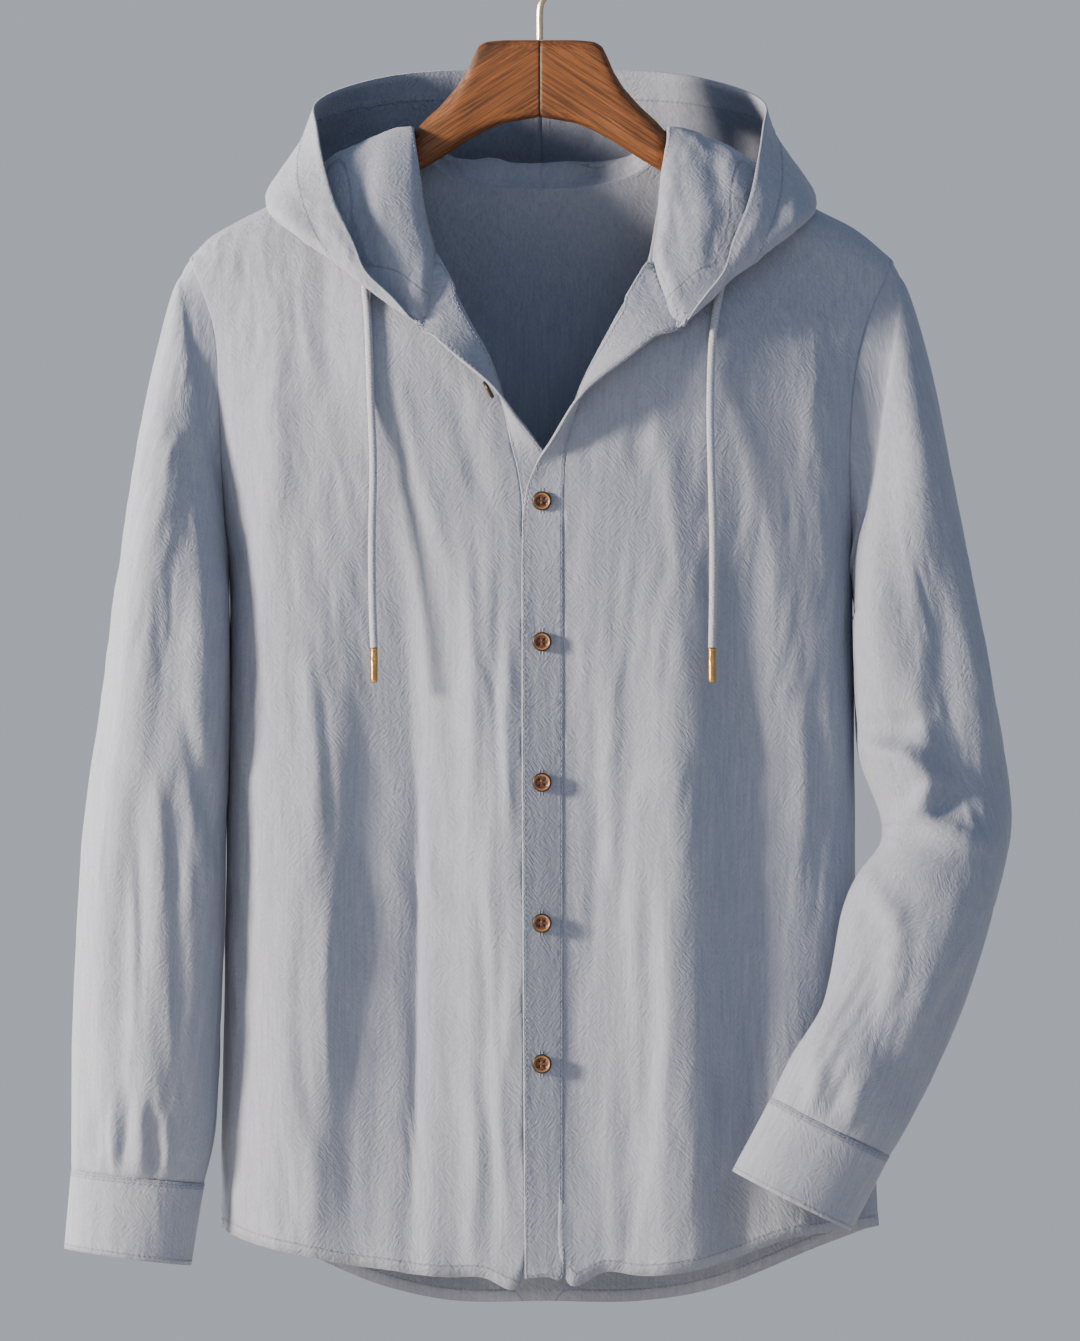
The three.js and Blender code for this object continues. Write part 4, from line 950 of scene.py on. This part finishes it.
# Buttons
# Turned horn buttons, 12.7 mm across, with a raised rim, a dished middle and four holes.
BUTTON_PROFILE = [
    (0.0, 0.0), (5.6, 0.0), (6.25, 0.45), (6.35, 1.2), (6.2, 2.0), (5.7, 2.5), (5.1, 2.55), (4.6, 2.2),
    (4.0, 1.75), (2.6, 1.55), (0.0, 1.5),
]
BUTTON_SIDES = 48
BUTTON_MIDDLE = 1.3
BUTTON_RADIUS = 6.35
HOLE = {"radius": 0.85, "spread": 1.7, "sides": 16, "depth": 8}
TOP_BUTTON_TURN = -2.07
horn, tree, shader = new_material("polished_horn")
where = node(tree, "TexCoord", {}, {})["Object"]
cloud = node(tree, "TexNoise", {}, {"Vector": where, "Scale": 320.0, "Detail": 5.0, "Distortion": 0.8})["Fac"]
horn_streaks_and_rim_shade = node(tree, "Mix", {"data_type": "RGBA"}, {
    0: node(tree, "MapRange", {}, {"Value": cloud, "From Min": 0.35, "From Max": 0.65})["Result"],
    6: linear("#29170b"), 7: linear("#54331c")})[2]
band = node(tree, "Attribute", {"attribute_name": "ring"}, {})["Fac"]
# A lighter ring part way out, and a very dark outer edge that is partly the horn's own colour and partly
# painted shade.
for low, high, most, colour in ((0.64, 0.72, 0.6, "#8c6a45"), (0.79, 0.86, 1.0, "#1c110a")):
    horn_streaks_and_rim_shade = node(tree, "Mix", {"data_type": "RGBA"}, {
        0: node(tree, "MapRange", {}, {
            "Value": band, "From Min": low, "From Max": high, "To Max": most})["Result"],
        6: horn_streaks_and_rim_shade, 7: linear(colour)})[2]
tree.links.new(horn_streaks_and_rim_shade, shader.inputs["Base Color"])
shader.inputs["Roughness"].default_value = 0.38
shader.inputs["Specular IOR Level"].default_value = 0.4

bm = turned(BUTTON_PROFILE, BUTTON_SIDES)
bmesh.ops.recalc_face_normals(bm, faces=bm.faces)
blank = linked("button_blank", mesh_from(bm, "button_disc"))
bm = bmesh.new()
for sx, sy in ((1, 1), (-1, 1), (-1, -1), (1, -1)):
    bmesh.ops.create_cone(bm, cap_ends=True, segments=HOLE["sides"], radius1=HOLE["radius"],
                          radius2=HOLE["radius"], depth=HOLE["depth"],
                          matrix=Matrix.Translation((sx * HOLE["spread"], sy * HOLE["spread"], 1)))
cutter = linked("button_cutter", mesh_from(bm, "button_drill"))
holes = blank.modifiers.new("holes", "BOOLEAN")
holes.object = cutter
holes.operation = "DIFFERENCE"
drilled = evaluated_mesh(blank)
for obj in (blank, cutter):
    bpy.data.objects.remove(obj)
drilled.attributes.new("ring", "FLOAT", "POINT").data.foreach_set(
    "value", [math.hypot(v.co.x, v.co.y) / BUTTON_RADIUS for v in drilled.vertices])
for name in [*FRONT_BUTTONS, "button_top"]:
    low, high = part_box(name)
    middle = (low + high) / 2
    mesh = drilled.copy()
    mesh.transform(Matrix.Scale(MM, 4) @ Matrix.Translation((0, 0, -BUTTON_MIDDLE)))
    if name == "button_top":
        turn = Matrix.Rotation(TOP_BUTTON_TURN, 4, "Y")
    else:
        turn = Matrix.Rotation(math.pi / 2, 4, "X")
    mesh.transform(Matrix.Translation(middle) @ turn)
    finished(name + "_turned", mesh, horn, "button_horn", name)

# Hanger
# Two halves of oiled wood glued in the middle, thick at the neck block and rounded along the arms.
# The grain of each half follows its arm, so that the two meet in a chevron at the joint.
GRAIN = {"slope": 33.0, "wide": 1.4, "long": 55.0}
WOOD_GRID = 1.1
WOOD_SMOOTHING = 5
JOINT_GAP = 0.05
oiled_wood, tree, shader = new_material("oiled_acacia")
where = node(tree, "SeparateXYZ", {}, {"Vector": node(tree, "TexCoord", {}, {})["Object"]})
side_of = node(tree, "Math", {"operation": "SIGN"}, {0: where["X"]})[0]
off_joint = node(tree, "Math", {"operation": "ABSOLUTE"}, {0: where["X"]})[0]
mirrored = node(tree, "CombineXYZ", {}, {
    "X": off_joint,
    "Y": node(tree, "Math", {"operation": "ADD"}, {0: where["Y"], 1: side_of})[0],
    "Z": where["Z"]})["Vector"]
lie = node(tree, "Mapping", {"vector_type": "TEXTURE"}, {
    "Vector": mirrored, "Rotation": (0, math.radians(GRAIN["slope"]), 0),
    "Scale": (GRAIN["long"] * MM, GRAIN["wide"] * MM, GRAIN["wide"] * MM)})["Vector"]
rings = node(tree, "TexNoise", {}, {"Vector": lie, "Scale": 1.0, "Detail": 5.0, "Distortion": 0.5})["Fac"]
bands = node(tree, "TexNoise", {}, {"Vector": lie, "Scale": 0.2, "Detail": 2.0, "Distortion": 0.6})["Fac"]
pores = node(tree, "TexNoise", {}, {"Vector": lie, "Scale": 3.1, "Detail": 2.0})["Fac"]
tone = node(tree, "Mix", {"data_type": "RGBA"}, {
    0: node(tree, "MapRange", {}, {"Value": rings, "From Min": 0.35, "From Max": 0.62})["Result"],
    6: linear("#3d2512"), 7: linear("#6d4424")})[2]
for mark, low, high, most, colour in ((bands, 0.56, 0.68, 0.85, "#2e1c10"),
                                      (pores, 0.6, 0.72, 1.0, "#332012")):
    tone = node(tree, "Mix", {"data_type": "RGBA"}, {
        0: node(tree, "MapRange", {}, {
            "Value": mark, "From Min": low, "From Max": high, "To Max": most})["Result"],
        6: tone, 7: linear(colour)})[2]
glue = node(tree, "MapRange", {}, {
    "Value": off_joint, "From Min": 0.0003, "From Max": 0.0011, "To Min": 1.0, "To Max": 0.0})["Result"]
tone = node(tree, "Mix", {"data_type": "RGBA"}, {0: glue, 6: tone, 7: linear("#24150b")})[2]
tree.links.new(tone, shader.inputs["Base Color"])
tree.links.new(node(tree, "MapRange", {}, {
    "Value": rings, "To Min": 0.62, "To Max": 0.46})["Result"], shader.inputs["Roughness"])
shader.inputs["Specular IOR Level"].default_value = 0.35
tree.links.new(node(tree, "Bump", {}, {"Strength": 0.5, "Distance": 0.0004, "Height": rings})["Normal"],
               shader.inputs["Normal"])
for side in ("left", "right"):
    blank = linked(f"blank_{side}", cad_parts[f"hanger_{side}"].data.copy())
    rounding = blank.modifiers.new("rounding", "REMESH")
    rounding.mode = "VOXEL"
    rounding.voxel_size = WOOD_GRID * MM
    mesh = evaluated_mesh(blank)
    bpy.data.objects.remove(blank)
    bm = bmesh.new()
    bm.from_mesh(mesh)
    away_from_joint = [v for v in bm.verts if abs(v.co.x) > WOOD_GRID * MM]
    for _ in range(WOOD_SMOOTHING):
        bmesh.ops.smooth_vert(bm, verts=away_from_joint, factor=0.5, use_axis_x=True, use_axis_y=True,
                              use_axis_z=True)
    for v in bm.verts:
        if abs(v.co.x) < WOOD_GRID * MM:
            v.co.x *= JOINT_GAP
    bm.to_mesh(mesh)
    bm.free()
    mesh.name = f"arm_{side}"
    finished(f"arm_{side}", mesh, oiled_wood, "hanger_wood", f"hanger_{side}")

# Hook
# Bent round steel wire, 4.3 mm thick, screwed into the glued joint.
HOOK_WIRE = 4.3
HOOK_BEND = 21.0
hook_steel, tree, shader = new_material("nickel_plated_steel")
where = node(tree, "TexCoord", {}, {})["Object"]
scuff = node(tree, "TexNoise", {}, {"Vector": where, "Scale": 300.0, "Detail": 3.0})["Fac"]
tree.links.new(node(tree, "Mix", {"data_type": "RGBA"}, {
    0: scuff, 6: linear("#b9a98c"), 7: linear("#cbbd9f")})[2], shader.inputs["Base Color"])
tree.links.new(node(tree, "MapRange", {}, {
    "Value": scuff, "To Min": 0.28, "To Max": 0.36})["Result"], shader.inputs["Roughness"])
shader.inputs["Metallic"].default_value = 1.0
HOOK_START = -0.95
HOOK_SWEEP = 4.35
crown = -(HOOK_BEND - HOOK_WIRE / 2)
bend = [(0, 0, -74.7), (0, 0, -66), (0, 0, -57), (1.2, 0, -50), (6, 0, -43.5)]
for k in range(25):
    angle = HOOK_START + HOOK_SWEEP * k / 24
    bend.append((HOOK_BEND * math.cos(angle), 0, crown + HOOK_BEND * math.sin(angle)))
finished("hook_wire", tube_mesh("hook_wire", smooth_route(bend, 1.0), HOOK_WIRE / 2, 24), hook_steel,
         "hook_steel", "hook")

# Studio
# A plain pale floor well below the hem, a warm light from the left at a low angle, which rakes over
# the folds, one behind for the back, and a weak one in front and a pale surround for the shadows.
floor_paint, tree, shader = new_material("pale_floor_paint")
shader.inputs["Base Color"].default_value = linear("#dad7d0")
shader.inputs["Roughness"].default_value = 0.8
bm = bmesh.new()
bmesh.ops.create_grid(bm, x_segments=1, y_segments=1, size=2.5, matrix=Matrix.Translation((0, 0, -1.25)))
floor = linked("floor", mesh_from(bm, "floor"))
floor.data.materials.append(floor_paint)

world = bpy.data.worlds.new("studio")
bpy.context.scene.world = world
world.use_nodes = True
world.node_tree.nodes["Background"].inputs["Color"].default_value = linear("#d9dfea")
world.node_tree.nodes["Background"].inputs["Strength"].default_value = 0.6
LIT_MIDDLE = Vector((0, 0, -0.5))
LIGHTS = [
    ("key", (-3.5, -1.55, 0.2), 0.6, 620, "#ffe4c8"),
    ("fill", (1.0, -4.0, 1.6), 2.0, 26, "#e6ecff"),
    ("rear", (-3.3, 2.0, 0.4), 0.8, 230, "#fff0e0"),
]
for name, place, size, power, colour in LIGHTS:
    light = bpy.data.lights.new(name, "AREA")
    light.size = size
    light.energy = power
    light.color = linear(colour)[:3]
    lamp = linked(name, light)
    lamp.location = place
    lamp.rotation_euler = (LIT_MIDDLE - Vector(place)).to_track_quat("-Z", "Y").to_euler()
